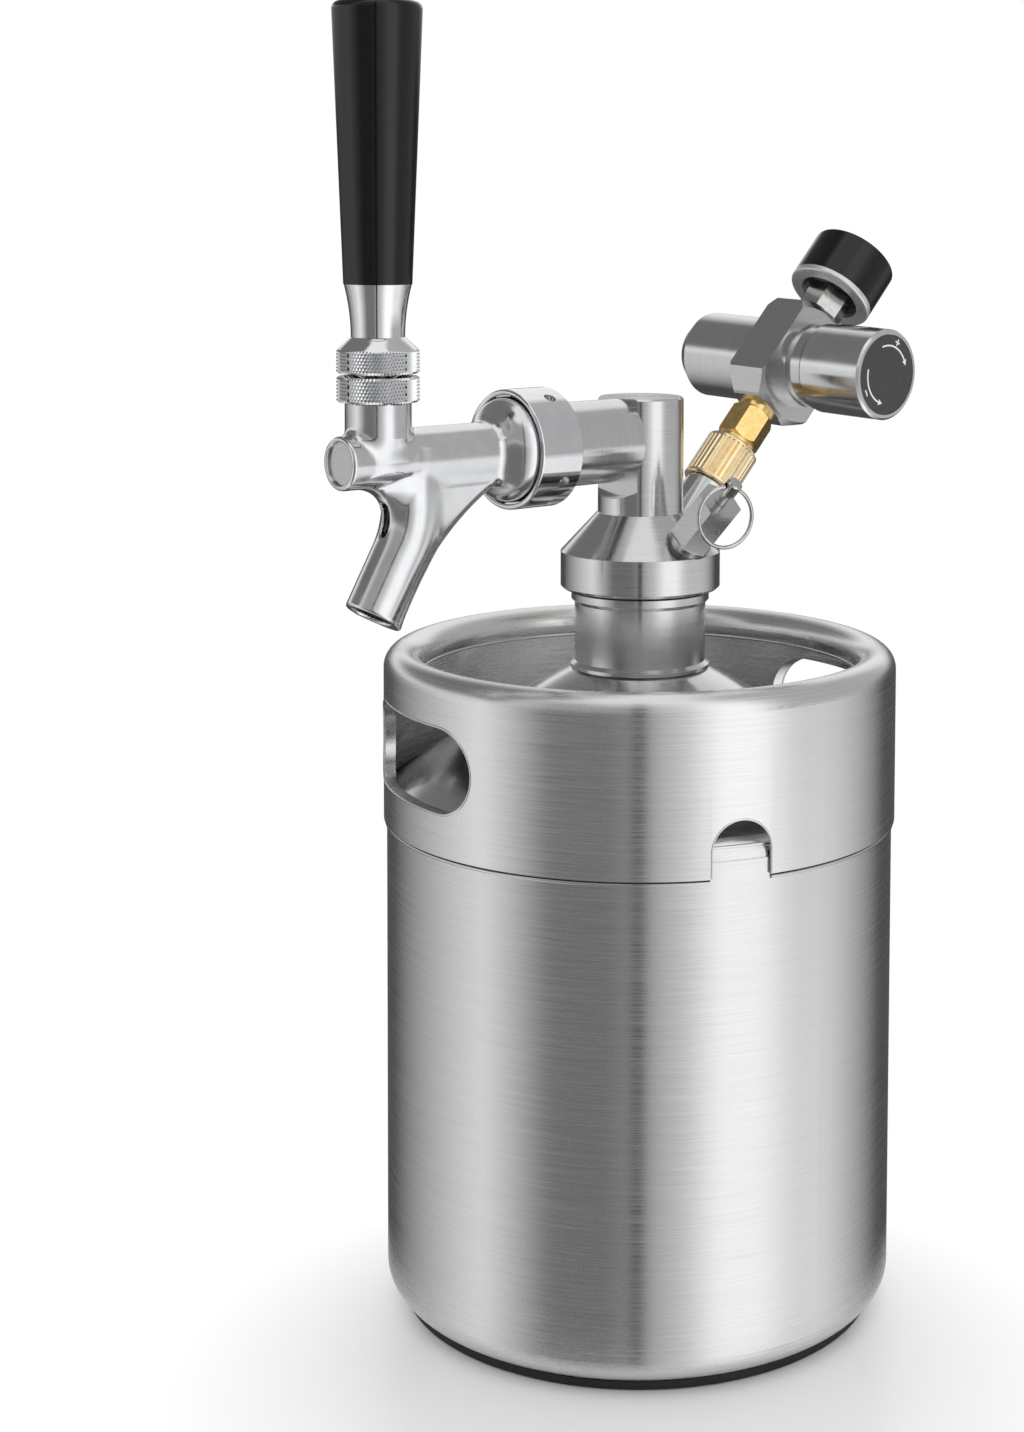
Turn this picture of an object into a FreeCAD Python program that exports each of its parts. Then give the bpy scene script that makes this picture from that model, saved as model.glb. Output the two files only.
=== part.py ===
import FreeCAD, Part
import math
import os

import Sketcher
from FreeCAD import Placement, Rotation, Vector
from types import SimpleNamespace

# Mini keg beer dispenser: a steel keg with a screw-on tap head, which carries a
# beer faucet, a pressure relief valve and a small gas regulator with a gauge.
# Millimetres. Origin at the centre of the base, +Z up, the faucet towards -Y.

os.makedirs("parts", exist_ok=True)
doc = FreeCAD.newDocument("MiniKegTap")

# ---------------------------------------------------------------- sizes

SIZES = {
    # keg: drawn body, domed shoulder and neck
    "keg_radius": 81.5,
    "keg_wall": 0.8,
    "keg_height": 160.0,
    "corner_radius": 8.0,
    "dish_margin": 7.5,
    "dish_rise": 5.0,
    "base_pad_height": 2.5,
    "base_pad_inset": 5.5,
    "knuckle_radius": 8.0,
    "knuckle_turn": 51.0,
    "crown_radius": 305.0,
    "seam_step": 0.5,
    "dome_rise": 42.9,
    "neck_radius": 21.1,
    "neck_wall": 1.4,
    "neck_length": 20.8,
    "bead_radius": 22.5,
    "bead_height": 2.2,
    "lip_radius": 22.2,
    "lip_height": 3.6,
    "neck_thread_radius": 20.4,
    "neck_thread_height": 9.7,
    # collar: skirt, rolled rim, hand holes and drain notches
    "collar_gap": 0.1,
    "collar_wall": 0.9,
    "collar_overlap": 4.8,
    "collar_height": 54.5,
    "rim_radius": 6.06,
    "rim_curl": 215.0,
    "hand_width": 68.0,
    "hand_height": 26.0,
    "hand_rise": 26.1,
    "hand_azimuth": -14.0,
    "hem_wall": 0.9,
    "hem_depth": 2.9,
    "drain_width": 18.8,
    "drain_height": 17.0,
    "drain_azimuth": 69.6,
    # tap head: skirt, cone, seals and dip tube
    "skirt_seal_height": 1.0,
    "skirt_seal_radius": 22.7,
    "mouth_seal_height": 1.5,
    "mouth_seal_inside": 17.2,
    "head_radius": 25.7,
    "head_skirt": 11.9,
    "head_chamfer": 0.9,
    "cone_height": 12.6,
    "cone_top_radius": 14.0,
    "dip_tube_radius": 4.0,
    "dip_tube_wall": 0.8,
    "dip_tube_length": 236.0,
    "dip_socket_depth": 9.5,
    "beer_way_radius": 3.0,
    "gas_way_radius": 1.5,
    # riser post and shank
    "post_radius": 13.75,
    "post_height": 37.2,
    "post_chamfer": 0.65,
    "shank_rise": 23.7,
    "post_flat": 9.94,
    "spot_face_radius": 18.6,
    "shank_radius": 13.25,
    "shank_length": 34.1,
    "shank_flange_radius": 14.2,
    "shank_flange_width": 2.5,
    "tail_washer_width": 1.5,
    "tail_washer_inside": 5.0,
    # coupling nut
    "nut_radius": 18.5,
    "nut_length": 16.8,
    "nut_lip": 2.2,
    "nut_thread_radius": 14.3,
    "nut_recess_radius": 16.8,
    "nut_recess_depth": 3.0,
    "nut_chamfer": 1.0,
    "spanner_hole_radius": 1.9,
    "spanner_hole_depth": 2.6,
    "spanner_hole_place": 6.5,
    "spanner_hole_angle": 30.0,
    "spanner_holes": 4,
    # faucet casting, along its own barrel
    "tail_thread_length": 8.5,
    "tail_thread_radius": 14.2,
    "bulb_radius": 16.3,
    "bulb_length": 8.5,
    "barrel_radius": 9.0,
    "front_radius": 8.0,
    "lever_reach": 57.76,
    "front_reach": 71.8,
    "valve_chamber_radius": 9.0,
    "valve_chamber_depth": 13.0,
    "valve_bore": 5.0,
    "cap_radius": 6.3,
    "cap_depth": 5.5,
    "cap_thickness": 4.4,
    "neck_tube_radius": 9.75,
    "neck_tube_height": 17.1,
    "neck_root_radius": 7.6,
    "neck_root_height": 7.0,
    "bonnet_thread_radius": 9.4,
    "bonnet_thread_height": 3.4,
    "throat_radius": 6.2,
    "housing_radius": 8.35,
    "spout_radius": 8.4,
    "spout_bore": 6.3,
    "spout_setback": 11.3,
    "spout_drop": 13.8,
    "spout_bend": 30.0,
    "spout_angle": 30.0,
    "spout_run": 19.9,
    "web_radius": 75.0,
    "web_back": 20.6,
    "web_centre_drop": 73.6,
    "web_edge": 2.4,
    "web_nose": 7.0,
    "vent_width": 3.2,
    "vent_length": 9.0,
    # ball lever, bonnet and plunger
    "ball_rise": 13.5,
    "ball_radius": 7.0,
    "ball_gap": 0.3,
    "ball_seat_height": 5.0,
    "retainer_height": 6.9,
    "retainer_grip": 4.2,
    "retainer_mouth": 7.4,
    "stem_neck_radius": 2.8,
    "stem_radius": 3.9,
    "stem_height": 46.0,
    "finger_radius": 1.4,
    "finger_tip_radius": 2.3,
    "finger_play": 0.35,
    "knurl_radius": 12.2,
    "bonnet_top": 11.3,
    "bonnet_mouth": 10.3,
    "collar_start": 12.3,
    "collar_knurl": 7.0,
    "collar_cone": 3.5,
    "collar_hollow": 16.9,
    "knurl_edge": 0.6,
    "ferrule_bottom_radius": 7.9,
    "ferrule_top_radius": 9.9,
    "ferrule_height": 15.4,
    "ferrule_sweep": 4.0,
    "ferrule_spigot_radius": 6.0,
    "ferrule_spigot": 14.0,
    "handle_bottom_radius": 10.05,
    "handle_top_radius": 13.2,
    "handle_height": 81.8,
    "handle_corner": 2.2,
    "plunger_gap": 0.08,
    "plunger_rod_radius": 2.2,
    "plunger_guide": 12.5,
    "plunger_shoulder_radius": 4.2,
    "slot_lean": 1.0,
    "plunger_clear": 0.4,
    "seat_washer_radius": 7.4,
    "seat_washer_width": 3.0,
    "seat_nut_width": 3.0,
    "seat_nut_radius": 4.6,
    # gas inlet: nipple, union nut, adapter
    "gas_tilt": 43.2,
    "gas_root_radius": 19.2,
    "gas_spot_depth": 1.6,
    "nipple_radius": 7.6,
    "nipple_length": 15.2,
    "nipple_spigot_radius": 5.0,
    "nipple_spigot": 4.0,
    "nipple_thread_radius": 6.5,
    "nipple_thread": 11.2,
    "gas_washer_width": 0.8,
    "union_radius": 9.1,
    "union_lip": 2.6,
    "union_groove": 0.45,
    "union_grooves": 32,
    "union_plain_end": 1.2,
    "adapter_flange": 2.3,
    "adapter_neck_radius": 5.0,
    "adapter_collar_radius": 6.5,
    "adapter_collar": 1.8,
    "adapter_hex_radius": 7.65,
    "adapter_hex": 12.2,
    "adapter_bevel": 1.1,
    "adapter_rim": 2.4,
    "adapter_spigot_radius": 4.5,
    "adapter_spigot": 8.0,
    "loose_gap": 0.3,
    "thread_gap": 0.1,
    # regulator block, cartridge barrel and knob
    "regulator_twist": 3.0,
    "block_width": 29.4,
    "block_below": 20.4,
    "block_turn_radius": 21.8,
    "block_bevel": 2.3,
    "block_thickness": 16.0,
    "block_chamfer": 6.4,
    "block_round": 1.2,
    "cartridge_barrel_radius": 14.5,
    "cartridge_barrel_length": 32.5,
    "cartridge_end_radius": 10.2,
    "cartridge_end_length": 5.5,
    "cartridge_thread_radius": 4.76,
    "cartridge_thread_depth": 11.5,
    "cartridge_nose_depth": 4.0,
    "cartridge_nose_radius": 4.3,
    "cartridge_seal_width": 1.5,
    "pierce_pin_radius": 1.0,
    "pierce_pin_length": 3.6,
    "spring_bore": 8.2,
    "shoulder_radius": 14.2,
    "shoulder_length": 10.2,
    "shoulder_groove_radius": 12.9,
    "knob_stem_radius": 11.0,
    "knob_stem_length": 18.0,
    "knob_radius": 15.0,
    "knob_length": 25.6,
    "knob_gap": 0.3,
    "knob_end_wall": 7.0,
    "knob_chamfer": 0.7,
    "knob_dial_radius": 13.3,
    "knob_dial_depth": 0.8,
    "piston_radius": 8.1,
    "piston_height": 6.0,
    "piston_depth": 3.0,
    "reg_spring_radius": 5.6,
    "reg_spring_wire": 1.1,
    "reg_spring_pitch": 5.6,
    # gauge, on the inlet axis past the block
    "gauge_radius": 15.0,
    "gauge_stand": 8.0,
    "gauge_spot_depth": 0.6,
    "gauge_length": 18.7,
    "gauge_ring_width": 2.0,
    "gauge_ring_inside": 10.6,
    "gauge_wall": 1.3,
    "gauge_hex_radius": 8.0,
    "gauge_stem_radius": 4.8,
    "gauge_spigot": 7.0,
    "gauge_dial_depth": 4.0,
    "gauge_dial_width": 0.6,
    "gauge_arbor_radius": 0.7,
    "needle_length": 10.0,
    "needle_tail": 3.0,
    "needle_width": 1.4,
    "needle_thickness": 0.5,
    "lens_width": 1.2,
    "bourdon_radius": 9.0,
    "bourdon_tube": 1.1,
    "bourdon_start": 108.5,
    "bourdon_turn": 245.0,
    "arm_width": 5.0,
    "arm_height": 6.0,
    "needle_zero": 45.0,
    # pressure relief valve
    "relief_tilt": 45.5,
    "relief_root_radius": 21.8,
    "relief_twist": -20.0,
    "relief_spot_depth": 0.5,
    "relief_seat_radius": 7.0,
    "relief_seat_length": 3.4,
    "relief_spigot": 3.0,
    "relief_spigot_radius": 4.5,
    "relief_neck_radius": 5.4,
    "relief_neck_length": 1.3,
    "relief_hex_radius": 7.5,
    "relief_hex": 18.0,
    "relief_chamber_radius": 4.7,
    "relief_cap_wall": 2.5,
    "relief_port_radius": 1.5,
    "relief_seat_height": 1.0,
    "pin_radius": 1.8,
    "pin_gap": 0.1,
    "pin_reach": 9.6,
    "pin_head_radius": 2.5,
    "pin_head": 4.6,
    "pin_chamfer": 0.5,
    "pin_eye_radius": 1.15,
    "pin_eye_place": 2.3,
    "relief_disc_radius": 3.6,
    "relief_disc_width": 1.5,
    "relief_seal_width": 1.0,
    "relief_seal_gap": 0.05,
    "relief_spring_wire": 0.5,
    "relief_spring_radius": 3.2,
    "relief_spring_pitch": 2.4,
    "ring_radius": 9.4,
    "ring_wire": 0.62,
}

sheet = doc.addObject("Spreadsheet::Sheet", "sizes")
for row, (alias, number) in enumerate(SIZES.items(), start=1):
    sheet.set(f"A{row}", alias)
    sheet.set(f"B{row}", str(number))
    sheet.setAlias(f"B{row}", alias)
doc.recompute()


class Size:
    """A length or an angle: its value, and the formula that reads it from the sheet."""

    def __init__(self, value, formula):
        self.value = value
        self.formula = formula

    def __add__(self, other):
        other = as_size(other)
        return Size(self.value + other.value, f"({self.formula} + {other.formula})")

    def __sub__(self, other):
        other = as_size(other)
        return Size(self.value - other.value, f"({self.formula} - {other.formula})")

    def __mul__(self, other):
        other = as_size(other)
        return Size(self.value * other.value, f"({self.formula} * {other.formula})")

    def __truediv__(self, other):
        other = as_size(other)
        return Size(self.value / other.value, f"({self.formula} / {other.formula})")

    def __neg__(self):
        return Size(-self.value, f"(-1 * {self.formula})")

    def __radd__(self, other):
        return as_size(other) + self

    def __rsub__(self, other):
        return as_size(other) - self

    def __rmul__(self, other):
        return as_size(other) * self


def as_size(number):
    """Give a plain number the same form as a size from the sheet."""
    if isinstance(number, Size):
        return number
    return Size(float(number), f"{number:.6f}")


def sine(angle):
    angle = as_size(angle)
    return Size(math.sin(math.radians(angle.value)), f"sin({angle.formula})")


def cosine(angle):
    angle = as_size(angle)
    return Size(math.cos(math.radians(angle.value)), f"cos({angle.formula})")


def root(number):
    return Size(math.sqrt(number.value), f"sqrt({number.formula})")


S = SimpleNamespace(**{name: Size(float(sheet.get(name)), "sizes." + name) for name in SIZES})


# ---------------------------------------------------------------- tools

class Frame:
    """Where a piece is built: an origin made of sizes, and a turn."""

    def __init__(self, x, y, z, turn=None):
        self.origin = [as_size(x), as_size(y), as_size(z)]
        self.turn = turn or Rotation()

    def place(self, thing):
        thing.Placement = Placement(Vector(*[size.value for size in self.origin]), self.turn)
        for axis, size in zip("xyz", self.origin):
            thing.setExpression(f"Placement.Base.{axis}", size.formula)

    def along(self, distance):
        """The same frame, moved along its own Z axis."""
        way = self.turn.multVec(Vector(0, 0, 1))
        x, y, z = self.origin
        return Frame(x + distance * way.x, y + distance * way.y, z + distance * way.z, self.turn)


NODES = []


def new_body(label, frame):
    body = doc.addObject("PartDesign::Body", label)
    body.Label = label
    body.AllowCompound = True
    frame.place(body)
    NODES.append(body)
    return body


def sketch_in(body, role, name, offset=(0, 0, 0), turn=None):
    """A sketch on one of the body's own planes, moved and turned within that plane's axes."""
    plane = next(item for item in body.Origin.OriginFeatures if item.Role == role)
    sketch = body.newObject("Sketcher::SketchObject", name)
    sketch.AttachmentSupport = (plane, [""])
    sketch.MapMode = "FlatFace"
    sizes = [as_size(value) for value in offset]
    sketch.AttachmentOffset = Placement(Vector(*[size.value for size in sizes]), turn or Rotation())
    for axis, size in zip("xyz", sizes):
        sketch.setExpression(f"AttachmentOffset.Base.{axis}", size.formula)
    return sketch


def pin_point(sketch, geometry, vertex, x, y):
    """Hold a point at sizes measured from the sketch's origin."""
    for kind, size in (("DistanceX", as_size(x)), ("DistanceY", as_size(y))):
        index = sketch.addConstraint(Sketcher.Constraint(kind, -1, 1, geometry, vertex, size.value))
        sketch.setExpression(f"Constraints[{index}]", size.formula)


def set_radius(sketch, geometry, radius):
    index = sketch.addConstraint(Sketcher.Constraint("Radius", geometry, radius.value))
    sketch.setExpression(f"Constraints[{index}]", radius.formula)


def arc_between(start, end, radius):
    """The shorter arc from start to end. A positive radius turns left, a negative one right."""
    chord = end - start
    half = chord.Length / 2
    rise = math.sqrt(max(radius * radius - half * half, 0.0))
    left = Vector(-chord.y, chord.x, 0) / chord.Length
    centre = (start + end) / 2 + left * (rise if radius > 0 else -rise)
    circle = Part.Circle(centre, Vector(0, 0, 1), abs(radius))
    first, last = (start, end) if radius > 0 else (end, start)
    angles = [math.atan2(point.y - centre.y, point.x - centre.x) for point in (first, last)]
    return Part.ArcOfCircle(circle, *angles), rise


def outline(sketch, points, closed=True):
    """Draw lines and arcs through points (x, y) or (x, y, radius of the arc that ends there)."""
    corners = [(as_size(point[0]), as_size(point[1])) for point in points]
    places = [Vector(x.value, y.value, 0) for x, y in corners]
    count = len(points)
    spans = []
    for here in range(count if closed else count - 1):
        there = (here + 1) % count
        if len(points[there]) == 2:
            edge = sketch.addGeometry(Part.LineSegment(places[here], places[there]), False)
            spans.append((edge, 1, 2))
            continue
        radius = as_size(points[there][2])
        arc, rise = arc_between(places[here], places[there], radius.value)
        edge = sketch.addGeometry(arc, False)
        spans.append((edge, 1, 2) if radius.value > 0 else (edge, 2, 1))
        if rise > 1e-6:
            set_radius(sketch, edge, radius if radius.value > 0 else -radius)
        else:
            level = "Vertical" if abs(places[here].x - places[there].x) < 1e-6 else "Horizontal"
            sketch.addConstraint(Sketcher.Constraint(level, edge, 3, edge, 1))
    for here, (edge, first, last) in enumerate(spans):
        if here + 1 < len(spans) or closed:
            following = spans[(here + 1) % len(spans)]
            sketch.addConstraint(Sketcher.Constraint("Coincident", edge, last, following[0], following[1]))
        pin_point(sketch, edge, first, *corners[here])
    if not closed:
        pin_point(sketch, spans[-1][0], spans[-1][2], *corners[-1])


def circle(sketch, radius, x=0, y=0):
    x, y, radius = as_size(x), as_size(y), as_size(radius)
    shape = Part.Circle(Vector(x.value, y.value, 0), Vector(0, 0, 1), radius.value)
    edge = sketch.addGeometry(shape, False)
    pin_point(sketch, edge, 3, x, y)
    set_radius(sketch, edge, radius)


def obround(sketch, width, height, y):
    """A slot with round ends, centred on x = 0."""
    run = (width - height) / 2
    half = height / 2
    outline(sketch, [(-run, y - half, half), (run, y - half), (run, y + half, half), (-run, y + half)])


def hexagon(sketch, corner_radius, turn=0):
    outline(sketch, [(corner_radius * cosine(60 * step + turn), corner_radius * sine(60 * step + turn))
                     for step in range(6)])


def spin(body, sketch, name, axis="V_Axis", kind="PartDesign::Revolution"):
    feature = body.newObject(kind, name)
    feature.Profile = sketch
    feature.ReferenceAxis = (sketch, [axis])
    feature.Angle = 360
    return feature


def turned(label, frame, points, axis="V_Axis"):
    """A piece made on a lathe: a profile in X (or radius) and Z, spun round Z or X."""
    body = new_body(label, frame)
    sketch = sketch_in(body, "XZ_Plane", label + "_profile")
    outline(sketch, points)
    spin(body, sketch, label + "_turned", axis)
    return body


def extrude(body, sketch, name, length=None, cut=False, both=False, back=False):
    """A pad, or a pocket if cut; without a length, a pocket goes through everything."""
    feature = body.newObject("PartDesign::Pocket" if cut else "PartDesign::Pad", name)
    feature.Profile = sketch
    if length is None:
        feature.Type = "ThroughAll"
    else:
        feature.Length = as_size(length).value
        feature.setExpression("Length", as_size(length).formula)
    feature.SideType = "Symmetric" if both else "One side"
    feature.Reversed = back
    return feature


def polar(body, feature, name, role, count):
    """Copies of a feature all round one of the body's own axes."""
    axis = next(item for item in body.Origin.OriginFeatures if item.Role == role)
    pattern = body.newObject("PartDesign::PolarPattern", name)
    pattern.Originals = [feature]
    pattern.Axis = (axis, [""])
    pattern.Angle = 360
    pattern.Occurrences = int(round(count.value))
    pattern.setExpression("Occurrences", count.formula)
    body.Tip = pattern
    return pattern


def soften(body, name, radius, picks, kind="PartDesign::Fillet"):
    """Round or bevel the edges of the body's last feature that picks(edge) accepts."""
    doc.recompute()
    base = body.Tip
    names = [f"Edge{index}" for index, edge in enumerate(base.Shape.Edges, start=1) if picks(edge)]
    feature = body.newObject(kind, name)
    feature.Base = (base, names)
    if kind == "PartDesign::Fillet":
        feature.Radius = radius.value
        feature.setExpression("Radius", radius.formula)
    else:
        feature.Size = radius.value
        feature.setExpression("Size", radius.formula)
    return feature


def coil(label, frame, radius, wire, pitch, start, length, axis):
    """A spring of square wire round the frame's Z or X axis, from start over length."""
    body = new_body(label, frame)
    sketch = sketch_in(body, "XZ_Plane", label + "_wire")
    corners = ring_profile(radius - wire, radius + wire, start, start + wire * 2)
    if axis == "H_Axis":
        corners = [(up, out) for out, up in corners]
    outline(sketch, corners)
    helix = body.newObject("PartDesign::AdditiveHelix", label + "_coil")
    helix.Profile = sketch
    helix.ReferenceAxis = (sketch, [axis])
    helix.Mode = "pitch-height-angle"
    helix.Pitch = pitch.value
    helix.setExpression("Pitch", pitch.formula)
    helix.Height = (length - 2 * wire).value
    helix.setExpression("Height", (length - 2 * wire).formula)
    return body


def ring_profile(inside, outside, low, high):
    return [(inside, low), (outside, low), (outside, high), (inside, high)]


# ---------------------------------------------------------------- heights and frames

neck_base = S.keg_height + S.dome_rise
lip_bottom = neck_base + S.neck_length
lip_top = lip_bottom + S.lip_height
neck_top = lip_top + S.neck_thread_height
skirt_bottom = lip_top + S.skirt_seal_height
head_ceiling = neck_top + S.mouth_seal_height
cone_bottom = skirt_bottom + S.head_skirt
post_base = cone_bottom + S.cone_height
faucet_axis = post_base + S.shank_rise

collar_inside = S.keg_radius + S.collar_gap
collar_outside = collar_inside + S.collar_wall
collar_bottom = S.keg_height - S.collar_overlap
rim_top = collar_bottom + S.collar_height

faucet_turn = Rotation(Vector(0, 0, 1), -90)
gas_turn = Rotation(Vector(1, 0, 0), -S.gas_tilt.value)
relief_turn = Rotation(Vector(0, 1, 0), S.relief_tilt.value)
regulator_turn = gas_turn.multiply(Rotation(Vector(0, 0, 1), S.regulator_twist.value))


def cone_height_at(radius):
    """Height of the head's cone at a distance from the axis."""
    return cone_bottom + (S.head_radius - radius) / (S.head_radius - S.cone_top_radius) * S.cone_height


upright = Frame(0, 0, 0)
faucet_frame = Frame(0, 0, faucet_axis, faucet_turn)
gas_frame = Frame(0, S.gas_root_radius, cone_height_at(S.gas_root_radius), gas_turn)
relief_frame = Frame(S.relief_root_radius, 0, cone_height_at(S.relief_root_radius), relief_turn)


# ---------------------------------------------------------------- keg

def make_base_pad():
    turned("base_pad", upright, ring_profile(0, S.keg_radius - S.base_pad_inset, 0, S.base_pad_height))


def make_keg_shell():
    foot = S.base_pad_height
    outer, inner = S.keg_radius, S.keg_radius - S.keg_wall
    corner, inner_corner = S.corner_radius, S.corner_radius - S.keg_wall
    flat_edge = S.keg_radius - S.corner_radius
    dish_radius = flat_edge - S.dish_margin
    turned("keg_shell", upright, [
        (0, foot + S.dish_rise),
        (dish_radius, foot),
        (flat_edge, foot),
        (outer, foot + corner, corner),
        (outer, S.keg_height),
        (inner, S.keg_height),
        (inner, foot + corner),
        (flat_edge, foot + S.keg_wall, -inner_corner),
        (dish_radius, foot + S.keg_wall),
        (0, foot + S.dish_rise + S.keg_wall),
    ])


def make_keg_dome():
    """Shoulder, set in by a small step that leaves a ledge on top of the shell."""
    edge = S.keg_radius - S.seam_step
    outer = S.knuckle_radius
    inner = S.knuckle_radius - S.keg_wall
    centre = edge - S.knuckle_radius
    hole = S.neck_radius + S.thread_gap
    turned("keg_dome", upright, [
        (edge, S.keg_height),
        (centre + outer * cosine(S.knuckle_turn), S.keg_height + outer * sine(S.knuckle_turn), outer),
        (hole, neck_base, S.crown_radius),
        (hole, neck_base - S.keg_wall),
        (centre + inner * cosine(S.knuckle_turn), S.keg_height + inner * sine(S.knuckle_turn),
         -(S.crown_radius - S.keg_wall)),
        (edge - S.keg_wall, S.keg_height, -inner),
    ])


def make_keg_neck():
    bore = S.neck_radius - S.neck_wall
    mouth = S.neck_thread_radius - S.neck_wall
    turned("keg_neck", upright, [
        (bore, neck_base - S.bead_height),
        (S.neck_radius, neck_base - S.bead_height),
        (S.neck_radius, neck_base),
        (S.bead_radius, neck_base),
        (S.bead_radius, neck_base + S.bead_height / 2),
        (S.neck_radius, neck_base + S.bead_height),
        (S.neck_radius, lip_bottom),
        (S.lip_radius, lip_bottom + S.lip_height / 3),
        (S.lip_radius, lip_top),
        (S.neck_thread_radius, lip_top),
        (S.neck_thread_radius, neck_top),
        (mouth, neck_top),
        (mouth, lip_top),
        (bore, lip_bottom),
    ])


def make_keg_collar():
    """Skirt with a rolled rim. The hems of the hand holes start as plugs behind the wall."""
    body = new_body("keg_collar", upright)
    hand_middle = collar_bottom + S.hand_rise
    plug_height = S.hand_height + 2 * S.hem_wall
    band_low = hand_middle - plug_height / 2 - S.hem_wall
    band_high = hand_middle + plug_height / 2 + S.hem_wall

    band = sketch_in(body, "XZ_Plane", "hem_band")
    outline(band, ring_profile(collar_inside - S.hem_depth, collar_inside + S.collar_wall / 2,
                               band_low, band_high))
    spin(body, band, "hem_band_turned")

    azimuth = Rotation(Vector(0, 1, 0), S.hand_azimuth.value)
    waste = sketch_in(body, "XZ_Plane", "hem_waste", turn=azimuth)
    waste.setExpression("AttachmentOffset.Rotation.Angle", S.hand_azimuth.formula)
    reach = collar_outside + S.hem_depth
    outline(waste, [(-reach, band_low - S.hem_wall), (reach, band_low - S.hem_wall),
                    (reach, band_high + S.hem_wall), (-reach, band_high + S.hem_wall)])
    obround(waste, S.hand_width + 2 * S.hem_wall, plug_height, hand_middle)
    extrude(body, waste, "hem_trimmed", cut=True, both=True)

    rim_centre = rim_top - S.rim_radius
    rim_middle = collar_outside - S.rim_radius
    rim_inner = S.rim_radius - S.collar_wall
    sheet_profile = sketch_in(body, "XZ_Plane", "collar_profile")
    outline(sheet_profile, [
        (collar_outside, collar_bottom),
        (collar_outside, rim_centre),
        (rim_middle, rim_top, S.rim_radius),
        (rim_middle - S.rim_radius, rim_centre, S.rim_radius),
        (rim_middle + S.rim_radius * cosine(S.rim_curl), rim_centre + S.rim_radius * sine(S.rim_curl),
         S.rim_radius),
        (rim_middle + rim_inner * cosine(S.rim_curl), rim_centre + rim_inner * sine(S.rim_curl)),
        (rim_middle - rim_inner, rim_centre, -rim_inner),
        (rim_middle, rim_centre + rim_inner, -rim_inner),
        (collar_inside, rim_centre, -rim_inner),
        (collar_inside, collar_bottom),
    ])
    spin(body, sheet_profile, "collar_turned")

    hand = sketch_in(body, "XZ_Plane", "hand_holes", turn=azimuth)
    hand.setExpression("AttachmentOffset.Rotation.Angle", S.hand_azimuth.formula)
    obround(hand, S.hand_width, S.hand_height, hand_middle)
    extrude(body, hand, "hand_holes_cut", cut=True, both=True)

    arch = S.drain_width / 2
    spring_line = collar_bottom + S.drain_height - arch
    drain = sketch_in(body, "XZ_Plane", "drain_notches",
                      turn=Rotation(Vector(0, 1, 0), S.drain_azimuth.value))
    drain.setExpression("AttachmentOffset.Rotation.Angle", S.drain_azimuth.formula)
    outline(drain, [(-arch, collar_bottom - S.collar_wall), (arch, collar_bottom - S.collar_wall),
                    (arch, spring_line), (-arch, spring_line, arch)])
    extrude(body, drain, "drain_notches_cut", cut=True, both=True)


# ---------------------------------------------------------------- tap head

def make_seals():
    turned("skirt_seal", upright, ring_profile(
        S.neck_thread_radius + S.loose_gap, S.skirt_seal_radius, lip_top, skirt_bottom))
    turned("mouth_seal", upright, ring_profile(
        S.mouth_seal_inside, S.neck_thread_radius, neck_top, head_ceiling))


def make_tap_head():
    bore = S.neck_thread_radius + S.loose_gap
    body = turned("tap_head", upright, [
        (bore, skirt_bottom),
        (S.head_radius - S.head_chamfer, skirt_bottom),
        (S.head_radius, skirt_bottom + S.head_chamfer),
        (S.head_radius, cone_bottom),
        (S.cone_top_radius, post_base),
        (S.beer_way_radius, post_base),
        (S.beer_way_radius, head_ceiling + S.dip_socket_depth),
        (S.dip_tube_radius + S.thread_gap, head_ceiling + S.dip_socket_depth),
        (S.dip_tube_radius + S.thread_gap, head_ceiling),
        (bore, head_ceiling),
    ])
    sockets = (
        ("gas", gas_frame, S.nipple_radius + S.thread_gap, S.gas_spot_depth,
         S.nipple_spigot_radius + S.thread_gap, S.nipple_spigot),
        ("relief", relief_frame, S.relief_neck_radius + S.thread_gap, S.relief_spot_depth,
         S.relief_spigot_radius + S.thread_gap, S.relief_spigot),
    )
    for name, frame, spot_radius, spot_depth, socket_radius, socket_depth in sockets:
        floor = frame.along(-spot_depth)
        spot = sketch_in(body, "XY_Plane", name + "_spot", offset=floor.origin, turn=floor.turn)
        circle(spot, spot_radius)
        extrude(body, spot, name + "_spot_face", cut=True, back=True)
        socket = sketch_in(body, "XY_Plane", name + "_socket", offset=floor.origin, turn=floor.turn)
        circle(socket, socket_radius)
        extrude(body, socket, name + "_socket_bored", socket_depth, cut=True)
        way = sketch_in(body, "XY_Plane", name + "_way", offset=floor.origin, turn=floor.turn)
        circle(way, S.gas_way_radius)
        extrude(body, way, name + "_way_drilled", socket_depth + S.head_skirt - S.head_chamfer, cut=True)


def make_dip_tube():
    top = head_ceiling + S.dip_socket_depth
    turned("dip_tube", upright, ring_profile(
        S.dip_tube_radius - S.dip_tube_wall, S.dip_tube_radius, top - S.dip_tube_length, top))


def make_riser_post():
    top = post_base + S.post_height
    body = turned("riser_post", upright, [
        (S.beer_way_radius, post_base),
        (S.post_radius, post_base),
        (S.post_radius, top - S.post_chamfer),
        (S.post_radius - S.post_chamfer, top),
        (0, top),
        (0, faucet_axis),
        (S.beer_way_radius, faucet_axis),
    ])
    flat = sketch_in(body, "XZ_Plane", "post_flat", offset=(0, 0, S.post_flat))
    circle(flat, S.spot_face_radius, 0, faucet_axis)
    extrude(body, flat, "post_flat_cut", cut=True, back=True)
    way = sketch_in(body, "XZ_Plane", "post_way")
    circle(way, S.beer_way_radius, 0, faucet_axis)
    extrude(body, way, "post_way_bored", cut=True, back=True)


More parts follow.
